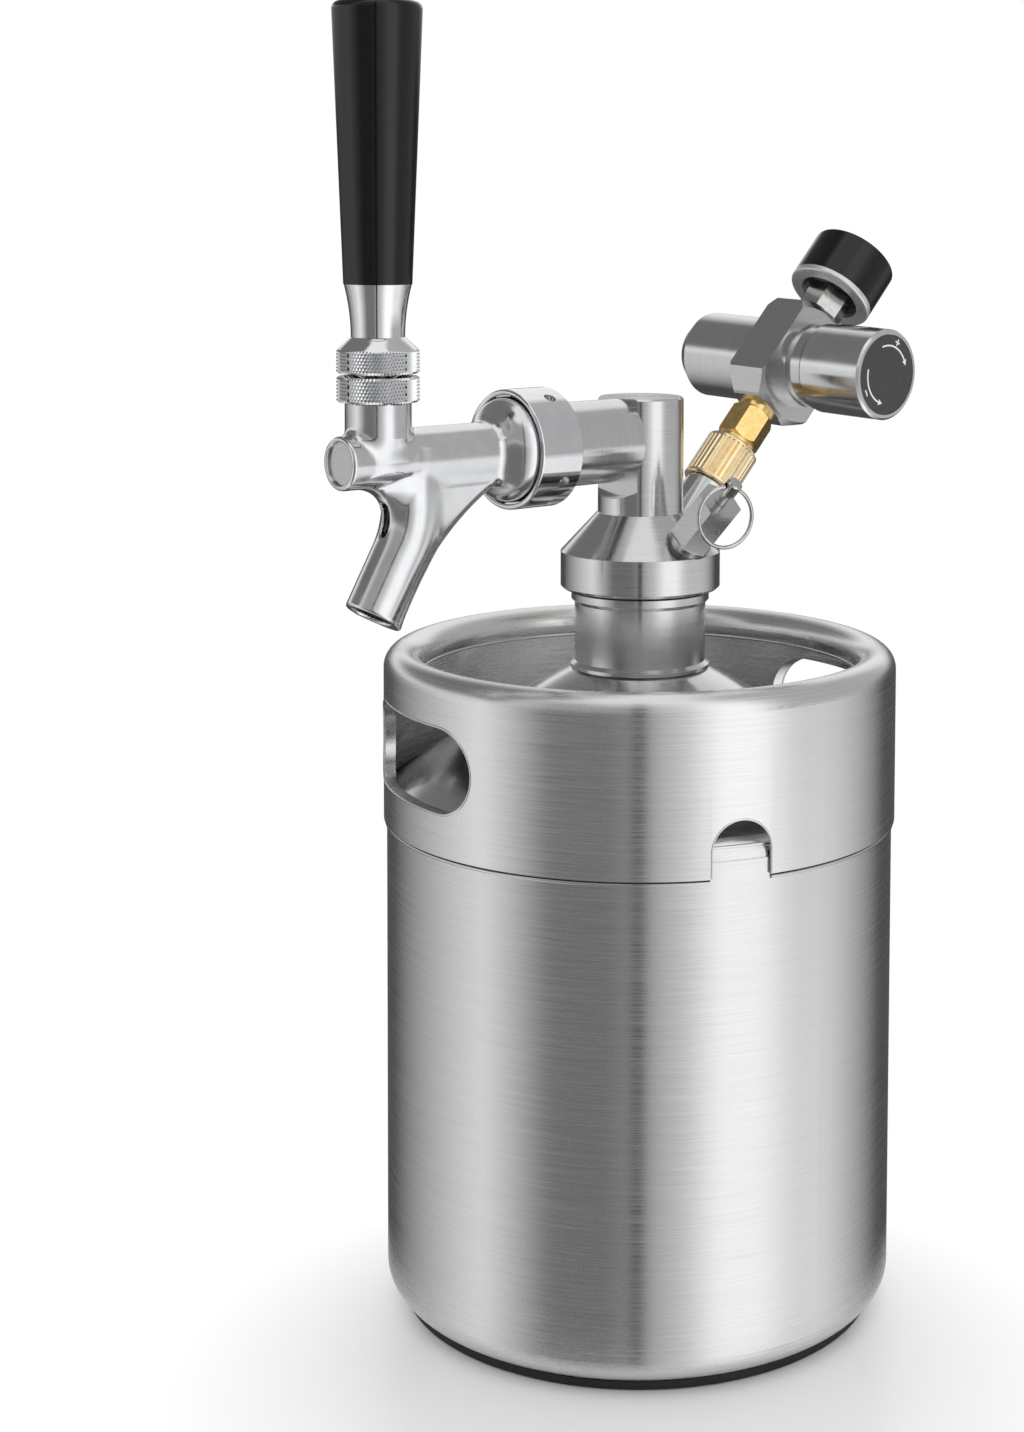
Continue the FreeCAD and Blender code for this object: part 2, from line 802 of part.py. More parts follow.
# ---------------------------------------------------------------- shank and coupling nut

shank_front = S.post_flat + S.shank_length
faucet_back = shank_front + S.tail_washer_width
nut_back = shank_front - S.shank_flange_width - S.thread_gap - S.nut_lip


def make_shank():
    step = shank_front - S.shank_flange_width
    turned("shank", faucet_frame, [
        (S.post_flat, S.beer_way_radius),
        (S.post_flat, S.shank_radius),
        (step, S.shank_radius),
        (step, S.shank_flange_radius),
        (shank_front, S.shank_flange_radius),
        (shank_front, S.tail_washer_inside),
        (shank_front - S.shank_flange_width, S.beer_way_radius),
    ], axis="H_Axis")
    turned("tail_washer", faucet_frame, [
        (shank_front, S.tail_washer_inside),
        (faucet_back, S.tail_washer_inside),
        (faucet_back, S.shank_radius),
        (shank_front, S.shank_radius),
    ], axis="H_Axis")


def make_coupling_nut():
    front = nut_back + S.nut_length
    recess = front - S.nut_recess_depth
    lip = (S.nut_radius - S.nut_recess_radius) / 2
    body = turned("coupling_nut", faucet_frame, [
        (nut_back, S.shank_radius + S.thread_gap),
        (nut_back, S.nut_radius - S.nut_chamfer),
        (nut_back + S.nut_chamfer, S.nut_radius),
        (front - lip, S.nut_radius),
        (front, S.nut_radius - lip, -lip),
        (front - lip, S.nut_recess_radius, -lip),
        (recess, S.nut_recess_radius),
        (recess, S.nut_thread_radius),
        (nut_back + S.nut_lip, S.nut_thread_radius),
        (nut_back + S.nut_lip, S.shank_radius + S.thread_gap),
    ], axis="H_Axis")
    hole = sketch_in(body, "XY_Plane", "spanner_hole",
                     offset=(0, sine(S.spanner_hole_angle) * (S.nut_radius - S.spanner_hole_depth),
                             cosine(S.spanner_hole_angle) * (S.nut_radius - S.spanner_hole_depth)),
                     turn=Rotation(Vector(1, 0, 0), -S.spanner_hole_angle.value))
    circle(hole, S.spanner_hole_radius, nut_back + S.spanner_hole_place, 0)
    drilled = extrude(body, hole, "spanner_hole_drilled", cut=True, back=True)
    polar(body, drilled, "spanner_holes", "X_Axis", S.spanner_holes)


# ---------------------------------------------------------------- faucet

lever_axis = faucet_back + S.lever_reach
faucet_front = faucet_back + S.front_reach
valve_seat = faucet_back + S.valve_chamber_depth
ball_frame = Frame(0, -lever_axis, faucet_axis + S.ball_rise, faucet_turn)


def spout_path(body, name):
    """Centre line of the spout: down, a bend forward, and the straight nose."""
    start = lever_axis - S.spout_setback
    bend_x = start + S.spout_bend * (1 - cosine(S.spout_angle))
    bend_z = -S.spout_drop - S.spout_bend * sine(S.spout_angle)
    path = sketch_in(body, "XZ_Plane", name)
    outline(path, [
        (start, 0),
        (start, -S.spout_drop),
        (bend_x, bend_z, S.spout_bend),
        (bend_x + S.spout_run * sine(S.spout_angle), bend_z - S.spout_run * cosine(S.spout_angle)),
    ], closed=False)
    return path


def spout_tube(body, name, radius, kind):
    path = spout_path(body, name + "_path")
    section = sketch_in(body, "XY_Plane", name + "_section")
    circle(section, radius, lever_axis - S.spout_setback, 0)
    tube = body.newObject(kind, name)
    tube.Profile = section
    tube.Spine = (path, ["Edge1", "Edge2", "Edge3"])
    return tube


def web_section(body, name, drop):
    """Teardrop across the web at one height: a thin round back edge and a full nose."""
    back = (lever_axis - S.lever_reach - S.web_back
            + root(S.web_radius * S.web_radius - (S.web_centre_drop - drop) * (S.web_centre_drop - drop)))
    tail = back + S.web_edge
    lean = S.spout_drop + S.spout_bend * sine(S.spout_angle)
    start = lever_axis - S.spout_setback
    if drop.value <= S.spout_drop.value:
        nose = start
    elif drop.value <= lean.value:
        fall = drop - S.spout_drop
        nose = start + S.spout_bend - root(S.spout_bend * S.spout_bend - fall * fall)
    else:
        nose = (start + S.spout_bend * (1 - cosine(S.spout_angle))
                + (drop - lean) * sine(S.spout_angle) / cosine(S.spout_angle))
    section = sketch_in(body, "XY_Plane", name, offset=(0, 0, -drop))
    outline(section, [
        (tail, -S.web_edge, S.web_edge),
        (nose, -S.web_nose),
        (nose, S.web_nose, S.web_nose),
        (tail, S.web_edge),
    ])
    return section


def make_faucet_body():
    """Casting: a bored barrel with a threaded tail, the lever's neck, the spout and its web."""
    bulb_start = faucet_back + S.tail_thread_length
    bulb_end = bulb_start + S.bulb_length
    fall = S.bulb_radius - S.barrel_radius
    swell = (S.bulb_length * S.bulb_length + fall * fall) / (fall * 2)
    barrel = [
        (faucet_back, 0),
        (faucet_back, S.tail_thread_radius),
        (bulb_start, S.tail_thread_radius),
        (bulb_start, S.bulb_radius),
        (bulb_end, S.barrel_radius, -swell),
        (lever_axis, S.barrel_radius),
        (lever_axis, S.front_radius),
        (faucet_front, S.front_radius),
        (faucet_front, 0),
    ]
    body = turned("faucet_body", faucet_frame, barrel, axis="H_Axis")

    neck = sketch_in(body, "XZ_Plane", "lever_neck", offset=(lever_axis, 0, 0))
    thread_top = S.neck_tube_height + S.bonnet_thread_height
    outline(neck, [
        (0, 0),
        (S.neck_root_radius, 0),
        (S.neck_tube_radius, S.neck_root_height),
        (S.neck_tube_radius, S.neck_tube_height),
        (S.bonnet_thread_radius, S.neck_tube_height),
        (S.bonnet_thread_radius, thread_top),
        (0, thread_top),
    ])
    spin(body, neck, "lever_neck_turned")

    spout_tube(body, "spout", S.spout_radius, "PartDesign::AdditivePipe")

    drops = [S.barrel_radius * 0.4, S.spout_drop, S.spout_drop + S.spout_bend * 0.4,
             S.spout_drop + S.spout_bend * 0.8]
    sections = [web_section(body, f"web_section_{index}", drop) for index, drop in enumerate(drops)]
    web = body.newObject("PartDesign::AdditiveLoft", "web")
    web.Profile = sections[0]
    web.Sections = sections[1:]

    bore = sketch_in(body, "XZ_Plane", "faucet_bore")
    outline(bore, [
        (faucet_back, 0),
        (faucet_back, S.valve_chamber_radius),
        (valve_seat, S.valve_chamber_radius),
        (valve_seat, S.valve_bore),
        (faucet_front - S.cap_depth, S.valve_bore),
        (faucet_front - S.cap_depth, S.cap_radius + S.thread_gap),
        (faucet_front, S.cap_radius + S.thread_gap),
        (faucet_front, 0),
    ])
    spin(body, bore, "faucet_bored", "H_Axis", "PartDesign::Groove")

    housing = sketch_in(body, "XZ_Plane", "ball_housing", offset=(lever_axis, 0, 0))
    seat_floor = S.ball_rise - S.ball_seat_height
    outline(housing, [
        (0, 0),
        (S.throat_radius, 0),
        (S.throat_radius, seat_floor),
        (S.housing_radius, seat_floor),
        (S.housing_radius, thread_top),
        (0, thread_top),
    ])
    spin(body, housing, "ball_housing_bored", kind="PartDesign::Groove")

    spout_tube(body, "spout_way", S.spout_bore, "PartDesign::SubtractivePipe")

    vent = sketch_in(body, "YZ_Plane", "spout_vent", offset=(0, 0, lever_axis - S.spout_setback))
    low = -S.spout_drop - S.vent_length
    obround_up(vent, S.vent_width, low, -S.spout_drop + S.vent_width / 2)
    extrude(body, vent, "spout_vent_cut", cut=True, back=True)


def obround_up(sketch, width, low, high):
    """An upright slot with round ends, centred on x = 0."""
    half = width / 2
    outline(sketch, [(half, low + half, half), (half, high - half),
                     (-half, high - half, half), (-half, low + half)])


def make_front_cap():
    start = faucet_front - S.cap_depth
    turned("faucet_cap", faucet_frame, [
        (start, 0),
        (start, S.cap_radius),
        (start + S.cap_thickness, S.cap_radius),
        (start + S.cap_thickness, 0),
    ], axis="H_Axis")


def make_ball_seats():
    """Friction washers under and over the lever's ball, both hollowed to fit it."""
    hollow = S.ball_radius + S.ball_gap
    outside = S.housing_radius - S.thread_gap
    floor = S.ball_seat_height
    turned("ball_seat", ball_frame, [
        (root(hollow * hollow - floor * floor), -floor, -hollow),
        (outside, -floor),
        (outside, -S.ball_gap),
        (root(hollow * hollow - S.ball_gap * S.ball_gap), -S.ball_gap),
    ])
    grip = S.retainer_grip
    turned("ball_retainer", ball_frame, [
        (root(hollow * hollow - S.ball_gap * S.ball_gap), S.ball_gap, -hollow),
        (outside, S.ball_gap),
        (outside, S.retainer_height),
        (S.retainer_mouth, S.retainer_height),
        (root(hollow * hollow - grip * grip), grip),
    ])


neck_top_over_ball = S.neck_tube_height + S.bonnet_thread_height - S.ball_rise


def make_bonnet():
    """Knurled cap that screws over the neck and holds the ball down."""
    low = neck_top_over_ball - S.bonnet_thread_height + S.loose_gap
    lip = neck_top_over_ball + S.thread_gap
    thread = S.bonnet_thread_radius + S.thread_gap
    turned("bonnet", ball_frame, [
        (thread, low),
        (S.knurl_radius - S.knurl_edge, low),
        (S.knurl_radius, low + S.knurl_edge),
        (S.knurl_radius, S.bonnet_top - S.knurl_edge),
        (S.knurl_radius - S.knurl_edge, S.bonnet_top),
        (S.bonnet_mouth, S.bonnet_top),
        (S.retainer_mouth, lip),
        (thread, lip),
    ])


# ---------------------------------------------------------------- lever

def make_lever_stem():
    """Ball lever: a threaded stem above, the ball, and the finger that moves the plunger."""
    tip, finger, ball = S.finger_tip_radius, S.finger_radius, S.ball_radius
    turned("lever_stem", ball_frame, [
        (0, -S.ball_rise - tip),
        (finger, root(tip * tip - finger * finger) - S.ball_rise, tip),
        (finger, -root(ball * ball - finger * finger)),
        (S.stem_neck_radius, root(ball * ball - S.stem_neck_radius * S.stem_neck_radius), ball),
        (S.stem_neck_radius, ball + S.ball_gap),
        (S.stem_radius, S.bonnet_top),
        (S.stem_radius, S.stem_height),
        (0, S.stem_height),
    ])


ferrule_bottom = S.collar_start + S.collar_knurl + S.collar_cone
handle_bottom = ferrule_bottom + S.ferrule_height
handle_top = handle_bottom + S.handle_height


def make_lever_collar():
    """Knurled lock ring; its underside is hollowed about the ball, to swing past the bonnet."""
    bore = S.stem_radius + S.thread_gap
    hollow = S.collar_hollow
    knurl_top = S.collar_start + S.collar_knurl
    turned("lever_collar", ball_frame, [
        (bore, root(hollow * hollow - bore * bore)),
        (root(hollow * hollow - S.collar_start * S.collar_start), S.collar_start, -hollow),
        (S.knurl_radius, S.collar_start + S.knurl_edge),
        (S.knurl_radius, knurl_top - S.knurl_edge),
        (S.knurl_radius - S.knurl_edge, knurl_top),
        (S.ferrule_bottom_radius, ferrule_bottom),
        (bore, ferrule_bottom),
    ])


def make_lever_ferrule():
    bore = S.stem_radius + S.thread_gap
    spigot_top = handle_bottom + S.ferrule_spigot
    turned("lever_ferrule", ball_frame, [
        (bore, ferrule_bottom),
        (S.ferrule_bottom_radius, ferrule_bottom),
        (S.ferrule_top_radius, handle_bottom, -S.ferrule_height * S.ferrule_sweep),
        (S.ferrule_spigot_radius, handle_bottom),
        (S.ferrule_spigot_radius, spigot_top),
        (0, spigot_top),
        (0, S.stem_height + S.thread_gap),
        (bore, S.stem_height + S.thread_gap),
    ])


def make_lever_handle():
    spigot_top = handle_bottom + S.ferrule_spigot + S.thread_gap
    spigot = S.ferrule_spigot_radius + S.thread_gap
    turned("lever_handle", ball_frame, [
        (spigot, handle_bottom),
        (S.handle_bottom_radius, handle_bottom),
        (S.handle_top_radius, handle_top - S.handle_corner),
        (S.handle_top_radius - S.handle_corner, handle_top, S.handle_corner),
        (0, handle_top),
        (0, spigot_top),
        (spigot, spigot_top),
    ])


# ---------------------------------------------------------------- plunger, on the barrel's axis

washer_front = valve_seat - S.plunger_gap
washer_back = washer_front - S.seat_washer_width
rod_back = washer_back - S.seat_nut_width


def make_plunger():
    guide_end = faucet_front - S.cap_depth - S.plunger_clear
    guide_start = guide_end - S.plunger_guide
    guide = S.valve_bore - S.plunger_gap
    body = turned("plunger_shaft", faucet_frame, [
        (rod_back, 0),
        (rod_back, S.plunger_rod_radius),
        (washer_front, S.plunger_rod_radius),
        (washer_front, S.plunger_shoulder_radius),
        (washer_front + S.seat_nut_width, S.plunger_rod_radius),
        (guide_start, S.plunger_rod_radius),
        (guide_start, guide),
        (guide_end, guide),
        (guide_end, 0),
    ], axis="H_Axis")
    half = S.finger_tip_radius + S.finger_play
    slot = sketch_in(body, "XY_Plane", "finger_slot")
    outline(slot, [(lever_axis - half, -half), (lever_axis + half, -half),
                   (lever_axis + half, half), (lever_axis - half, half)])
    extrude(body, slot, "finger_slot_cut", cut=True, both=True)
    lean = sketch_in(body, "XY_Plane", "finger_lean", offset=(0, 0, S.finger_radius))
    outline(lean, [(lever_axis, -half), (lever_axis + half + S.slot_lean, -half),
                   (lever_axis + half + S.slot_lean, half), (lever_axis, half)])
    extrude(body, lean, "finger_lean_cut", cut=True, back=True)


def make_seat_washer():
    bore = S.plunger_rod_radius + S.thread_gap
    turned("seat_washer", faucet_frame, [
        (washer_back, bore),
        (washer_back, S.seat_washer_radius),
        (washer_front, S.seat_washer_radius),
        (washer_front, bore),
    ], axis="H_Axis")
    turned("seat_nut", faucet_frame, [
        (rod_back, bore),
        (rod_back, S.seat_nut_radius - S.plunger_gap),
        (washer_back, S.seat_nut_radius),
        (washer_back, bore),
    ], axis="H_Axis")


# ---------------------------------------------------------------- gas inlet, along the gas axis

nipple_top = S.nipple_length + S.nipple_thread
washer_top = nipple_top + S.gas_washer_width
flange_top = washer_top + S.adapter_flange
union_low = S.nipple_length + S.loose_gap
union_high = flange_top + S.loose_gap + S.union_lip
adapter_shoulder = union_high + S.loose_gap
hex_low = adapter_shoulder + S.adapter_collar
hex_high = hex_low + S.adapter_hex
block_low = hex_high + S.adapter_rim


def make_gas_nipple():
    floor = -S.gas_spot_depth
    turned("gas_nipple", gas_frame, [
        (S.gas_way_radius, floor - S.nipple_spigot),
        (S.nipple_spigot_radius, floor - S.nipple_spigot),
        (S.nipple_spigot_radius, floor),
        (S.nipple_radius, floor),
        (S.nipple_radius, S.nipple_length),
        (S.nipple_thread_radius, S.nipple_length),
        (S.nipple_thread_radius, nipple_top),
        (S.gas_way_radius, nipple_top),
    ])
    turned("gas_washer", gas_frame, ring_profile(
        S.gas_way_radius, S.nipple_thread_radius, nipple_top, washer_top))


def make_union_nut():
    """Captive nut with a straight knurl between two plain ends."""
    bore = S.nipple_thread_radius + S.loose_gap
    lip_bore = S.adapter_neck_radius + S.loose_gap
    body = turned("union_nut", gas_frame, [
        (bore, union_low),
        (S.union_radius - S.union_groove, union_low),
        (S.union_radius, union_low + S.union_groove),
        (S.union_radius, union_high - S.union_groove),
        (S.union_radius - S.union_groove, union_high),
        (lip_bore, union_high),
        (lip_bore, flange_top + S.loose_gap),
        (bore, flange_top + S.loose_gap),
    ])
    groove = sketch_in(body, "XY_Plane", "knurl_groove", offset=(0, 0, union_low + S.union_plain_end))
    outline(groove, [(S.union_radius - S.union_groove, 0),
                     (S.union_radius + S.union_groove, -S.union_groove * 2),
                     (S.union_radius + S.union_groove, S.union_groove * 2)])
    cut = extrude(body, groove, "knurl_groove_cut", union_high - union_low - 2 * S.union_plain_end,
                  cut=True, back=True)
    polar(body, cut, "knurl", "Z_Axis", S.union_grooves)


def make_hex_adapter():
    body = turned("hex_adapter", gas_frame, [
        (S.gas_way_radius, washer_top),
        (S.nipple_thread_radius - S.thread_gap, washer_top),
        (S.nipple_thread_radius - S.thread_gap, flange_top),
        (S.adapter_neck_radius, flange_top),
        (S.adapter_neck_radius, adapter_shoulder),
        (S.adapter_collar_radius, adapter_shoulder),
        (S.adapter_collar_radius, block_low),
        (S.adapter_spigot_radius, block_low),
        (S.adapter_spigot_radius, block_low + S.adapter_spigot),
        (S.gas_way_radius, block_low + S.adapter_spigot),
    ])
    hexagonal = sketch_in(body, "XY_Plane", "adapter_hexagon", offset=(0, 0, hex_low))
    hexagon(hexagonal, S.adapter_hex_radius)
    circle(hexagonal, S.gas_way_radius)
    extrude(body, hexagonal, "adapter_hex_padded", S.adapter_hex)
    bevel = sketch_in(body, "XZ_Plane", "adapter_bevel")
    for end, inward in ((hex_low, 1), (hex_high, -1)):
        outline(bevel, [
            (S.adapter_hex_radius - S.adapter_bevel, end),
            (S.adapter_hex_radius + S.adapter_bevel, end),
            (S.adapter_hex_radius + S.adapter_bevel, end + S.adapter_bevel * 2 * inward),
        ])
    spin(body, bevel, "adapter_bevelled", kind="PartDesign::Groove")


# ---------------------------------------------------------------- regulator

regulator_frame = Frame(*gas_frame.along(block_low + S.block_below).origin, regulator_turn)
block_half = S.block_thickness / 2
block_top = S.block_turn_radius
gauge_seat = block_top - S.gauge_spot_depth
barrel_end = -block_half - S.cartridge_barrel_length
thread_end = barrel_end + S.cartridge_thread_depth
thread_floor = thread_end + S.cartridge_nose_depth
knob_start = block_half + S.shoulder_length + S.knob_gap
knob_end = knob_start + S.knob_length
knob_floor = knob_end - S.knob_end_wall


def make_regulator_block():
    """Block milled from round bar, with a bevel turned on both of its faces."""
    body = new_body("regulator_block", regulator_frame)
    face = sketch_in(body, "YZ_Plane", "block_face")
    side, chamfer = S.block_width / 2, S.block_chamfer
    bevel, turned_radius = S.block_bevel, S.block_turn_radius
    outline(face, [
        (-side + chamfer, -S.block_below), (side - chamfer, -S.block_below),
        (side, -S.block_below + chamfer), (side, block_top + bevel),
        (-side, block_top + bevel), (-side, -S.block_below + chamfer),
    ])
    extrude(body, face, "block_padded", S.block_thickness, both=True)
    soften(body, "block_softened", S.block_round,
           lambda edge: edge.BoundBox.XLength > S.block_bevel.value)
    waste = sketch_in(body, "XZ_Plane", "block_waste")
    far = S.block_below + S.block_width
    outline(waste, [
        (-block_half - bevel, turned_radius - bevel * 2),
        (-block_half + bevel, turned_radius),
        (block_half - bevel, turned_radius),
        (block_half + bevel, turned_radius - bevel * 2),
        (block_half + bevel, far),
        (-block_half - bevel, far),
    ])
    spin(body, waste, "block_turned", "H_Axis", "PartDesign::Groove")

    bore = sketch_in(body, "YZ_Plane", "spring_bore", offset=(0, 0, block_half))
    circle(bore, S.spring_bore)
    extrude(body, bore, "spring_bored", block_half + S.piston_depth, cut=True)
    way = sketch_in(body, "YZ_Plane", "cartridge_way", offset=(0, 0, -block_half))
    circle(way, S.gas_way_radius)
    extrude(body, way, "cartridge_way_drilled", block_half, cut=True, back=True)
    ports = (
        ("inlet", -S.block_below, S.adapter_spigot_radius, S.adapter_spigot, True),
        ("outlet", gauge_seat, S.gauge_stem_radius, S.gauge_spigot, False),
    )
    for name, mouth, radius, depth, upward in ports:
        for part, size, length in (("socket", radius + S.thread_gap, depth + S.thread_gap),
                                   ("way", S.gas_way_radius, gauge_seat)):
            port = sketch_in(body, "XY_Plane", f"{name}_{part}", offset=(0, 0, mouth))
            circle(port, size)
            extrude(body, port, f"{name}_{part}_bored", length, cut=True, back=upward)
    spot = sketch_in(body, "XY_Plane", "gauge_spot", offset=(0, 0, block_top))
    circle(spot, S.gauge_hex_radius + S.loose_gap)
    extrude(body, spot, "gauge_spot_faced", S.gauge_spot_depth, cut=True)


def make_cartridge_barrel():
    """Holder for a threaded gas cartridge. Its nose meets the seal and piercing pin."""
    turned("cartridge_barrel", regulator_frame, [
        (-block_half, S.gas_way_radius),
        (-block_half, S.cartridge_barrel_radius),
        (barrel_end + S.cartridge_end_length, S.cartridge_barrel_radius),
        (barrel_end, S.cartridge_end_radius),
        (barrel_end, S.cartridge_thread_radius),
        (thread_end, S.cartridge_thread_radius),
        (thread_end, S.cartridge_nose_radius),
        (thread_floor, S.cartridge_nose_radius),
        (thread_floor, S.gas_way_radius),
    ], axis="H_Axis")
    turned("cartridge_seal", regulator_frame, [
        (thread_floor - S.cartridge_seal_width, S.gas_way_radius),
        (thread_floor, S.gas_way_radius),
        (thread_floor, S.cartridge_nose_radius - S.thread_gap),
        (thread_floor - S.cartridge_seal_width, S.cartridge_nose_radius - S.thread_gap),
    ], axis="H_Axis")
    turned("pierce_pin", regulator_frame, [
        (thread_floor - S.pierce_pin_length, 0),
        (thread_floor - S.pierce_pin_length / 2, S.pierce_pin_radius),
        (thread_floor, S.pierce_pin_radius),
        (thread_floor, S.gas_way_radius - S.thread_gap),
        (thread_floor + S.pierce_pin_length, S.gas_way_radius - S.thread_gap),
        (thread_floor + S.pierce_pin_length, 0),
    ], axis="H_Axis")


def make_knob():
    """Shoulder with its threaded stem, the pressure knob that turns on it, and its dial."""
    shoulder_end = block_half + S.shoulder_length
    groove = S.shoulder_radius - S.shoulder_groove_radius
    middle = block_half + S.shoulder_length / 2
    turned("knob_shoulder", regulator_frame, [
        (block_half, S.spring_bore),
        (block_half, S.shoulder_radius),
        (middle - groove, S.shoulder_radius),
        (middle - groove, S.shoulder_groove_radius),
        (middle + groove, S.shoulder_groove_radius),
        (middle + groove, S.shoulder_radius),
        (shoulder_end, S.shoulder_radius),
        (shoulder_end, S.knob_stem_radius),
        (shoulder_end + S.knob_stem_length, S.knob_stem_radius),
        (shoulder_end + S.knob_stem_length, S.spring_bore),
    ], axis="H_Axis")
    stem_bore = S.knob_stem_radius + S.knob_gap
    dial_floor = knob_end - S.knob_dial_depth
    turned("pressure_knob", regulator_frame, [
        (knob_start, stem_bore),
        (knob_start, S.knob_radius - S.knob_chamfer),
        (knob_start + S.knob_chamfer, S.knob_radius),
        (knob_end - S.knob_chamfer, S.knob_radius),
        (knob_end, S.knob_radius - S.knob_chamfer),
        (knob_end, S.knob_dial_radius),
        (dial_floor, S.knob_dial_radius),
        (dial_floor, 0),
        (knob_floor, 0),
        (knob_floor, stem_bore),
    ], axis="H_Axis")
    turned("knob_dial", regulator_frame, [
        (dial_floor, 0),
        (dial_floor, S.knob_dial_radius - S.thread_gap),
        (knob_end - S.thread_gap, S.knob_dial_radius - S.thread_gap),
        (knob_end - S.thread_gap, 0),
    ], axis="H_Axis")


def make_regulator_inside():
    start = -S.piston_depth
    top = start + S.piston_height
    spigot = S.reg_spring_radius - S.reg_spring_wire - S.loose_gap
    turned("piston", regulator_frame, [
        (start, 0),
        (start, S.piston_radius),
        (top, S.piston_radius),
        (top, spigot),
        (top + S.reg_spring_wire, spigot),
        (top + S.reg_spring_wire, 0),
    ], axis="H_Axis")
    coil("regulator_spring", regulator_frame, S.reg_spring_radius, S.reg_spring_wire,
         S.reg_spring_pitch, top + S.thread_gap, knob_floor - top - 2 * S.thread_gap, "H_Axis")


# ---------------------------------------------------------------- gauge

gauge_back = block_top + S.gauge_stand
case_back = gauge_back + S.gauge_ring_width
gauge_front = gauge_back + S.gauge_length
dial_top = gauge_front - S.gauge_dial_depth
arm_low = case_back + S.gauge_wall
gauge_frame = regulator_frame


def make_gauge_stem():
    body = turned("gauge_stem", gauge_frame, [
        (0, gauge_seat - S.gauge_spigot),
        (S.gauge_stem_radius, gauge_seat - S.gauge_spigot),
        (S.gauge_stem_radius, arm_low),
        (0, arm_low),
    ])
    hexagonal = sketch_in(body, "XY_Plane", "gauge_hexagon", offset=(0, 0, gauge_seat))
    hexagon(hexagonal, S.gauge_hex_radius)
    extrude(body, hexagonal, "gauge_hex_padded", case_back - gauge_seat)
    arm = sketch_in(body, "XY_Plane", "bourdon_arm", offset=(0, 0, arm_low))
    half = S.arm_width / 2
    reach = S.bourdon_radius + S.bourdon_tube * 2
    outline(arm, [(-half, -half), (half, -half), (half, reach), (-half, reach)])
    extrude(body, arm, "bourdon_arm_padded", S.arm_height)


def make_bourdon_tube():
    """Curved pressure tube; one end is let into the stem's arm."""
    body = new_body("bourdon_tube", gauge_frame)
    middle = arm_low + S.arm_height / 2
    radius = S.bourdon_radius
    path = sketch_in(body, "XY_Plane", "bourdon_path", offset=(0, 0, middle))
    points = []
    for step in range(4):
        turn = S.bourdon_start + step * S.bourdon_turn / 3
        points.append((radius * cosine(turn), radius * sine(turn)) + ((radius,) if step else ()))
    outline(path, points, closed=False)
    section = sketch_in(body, "YZ_Plane", "bourdon_section",
                        turn=Rotation(Vector(0, 1, 0), S.bourdon_start.value - 90))
    circle(section, S.bourdon_tube, radius, middle)
    tube = body.newObject("PartDesign::AdditivePipe", "bourdon_swept")
    tube.Profile = section
    tube.Spine = (path, ["Edge1", "Edge2", "Edge3"])


def make_gauge_case():
    round_edge = S.knob_chamfer
    turned("gauge_back_ring", gauge_frame, [
        (S.gauge_ring_inside, gauge_back),
        (S.gauge_radius - round_edge, gauge_back),
        (S.gauge_radius, gauge_back + round_edge, round_edge),
        (S.gauge_radius, case_back),
        (S.gauge_ring_inside, case_back),
    ])
    inside = S.gauge_radius - S.gauge_wall
    turned("gauge_case", gauge_frame, [
        (S.gauge_stem_radius + S.thread_gap, case_back),
        (S.gauge_radius, case_back),
        (S.gauge_radius, gauge_front - round_edge),
        (S.gauge_radius - round_edge, gauge_front, round_edge),
        (inside, gauge_front),
        (inside, dial_top - S.gauge_dial_width),
        (inside - round_edge, dial_top - S.gauge_dial_width),
        (inside - round_edge, arm_low),
        (S.gauge_stem_radius + S.thread_gap, arm_low),
    ])
    turned("gauge_dial", gauge_frame, ring_profile(
        S.gauge_arbor_radius + S.loose_gap, inside - S.thread_gap,
        dial_top - S.gauge_dial_width, dial_top))
    turned("gauge_lens", gauge_frame, [
        (0, gauge_front - S.lens_width),
        (inside - S.thread_gap, gauge_front - S.lens_width),
        (inside - S.thread_gap, gauge_front - S.thread_gap),
        (0, gauge_front - S.thread_gap),
    ])


def make_gauge_needle():
    """Pointer on its arbor, set at the foot of the scale."""
    zero = Rotation(Vector(0, 0, 1), 180 - S.needle_zero.value)
    frame = Frame(*gauge_frame.origin, gauge_frame.turn.multiply(zero))
    needle_low = dial_top + S.loose_gap
    needle_high = needle_low + S.needle_thickness
    body = turned("gauge_needle", frame, [
        (0, arm_low + S.arm_height + S.loose_gap),
        (S.gauge_arbor_radius, arm_low + S.arm_height + S.loose_gap),
        (S.gauge_arbor_radius, needle_low),
        (S.needle_width, needle_low),
        (S.needle_width, needle_high + S.loose_gap),
        (0, needle_high + S.loose_gap),
    ])
    pointer = sketch_in(body, "XY_Plane", "pointer", offset=(0, 0, needle_low))
    half = S.needle_width / 2
    outline(pointer, [(-half, -S.needle_tail), (half, -S.needle_tail), (half, 0),
                      (half / 3, S.needle_length), (-half / 3, S.needle_length), (-half, 0)])
    extrude(body, pointer, "pointer_padded", S.needle_thickness)


# ---------------------------------------------------------------- pressure relief valve

relief_hex_top = S.relief_seat_length + S.relief_hex
relief_seat = S.relief_seat_height
relief_chamber_top = relief_hex_top - S.relief_cap_wall
pin_tip = relief_hex_top + S.pin_reach
disc_low = relief_seat + S.relief_seal_width
disc_top = disc_low + S.relief_disc_width
pin_frame = Frame(*relief_frame.origin,
                  relief_turn.multiply(Rotation(Vector(0, 0, 1), S.relief_twist.value)))


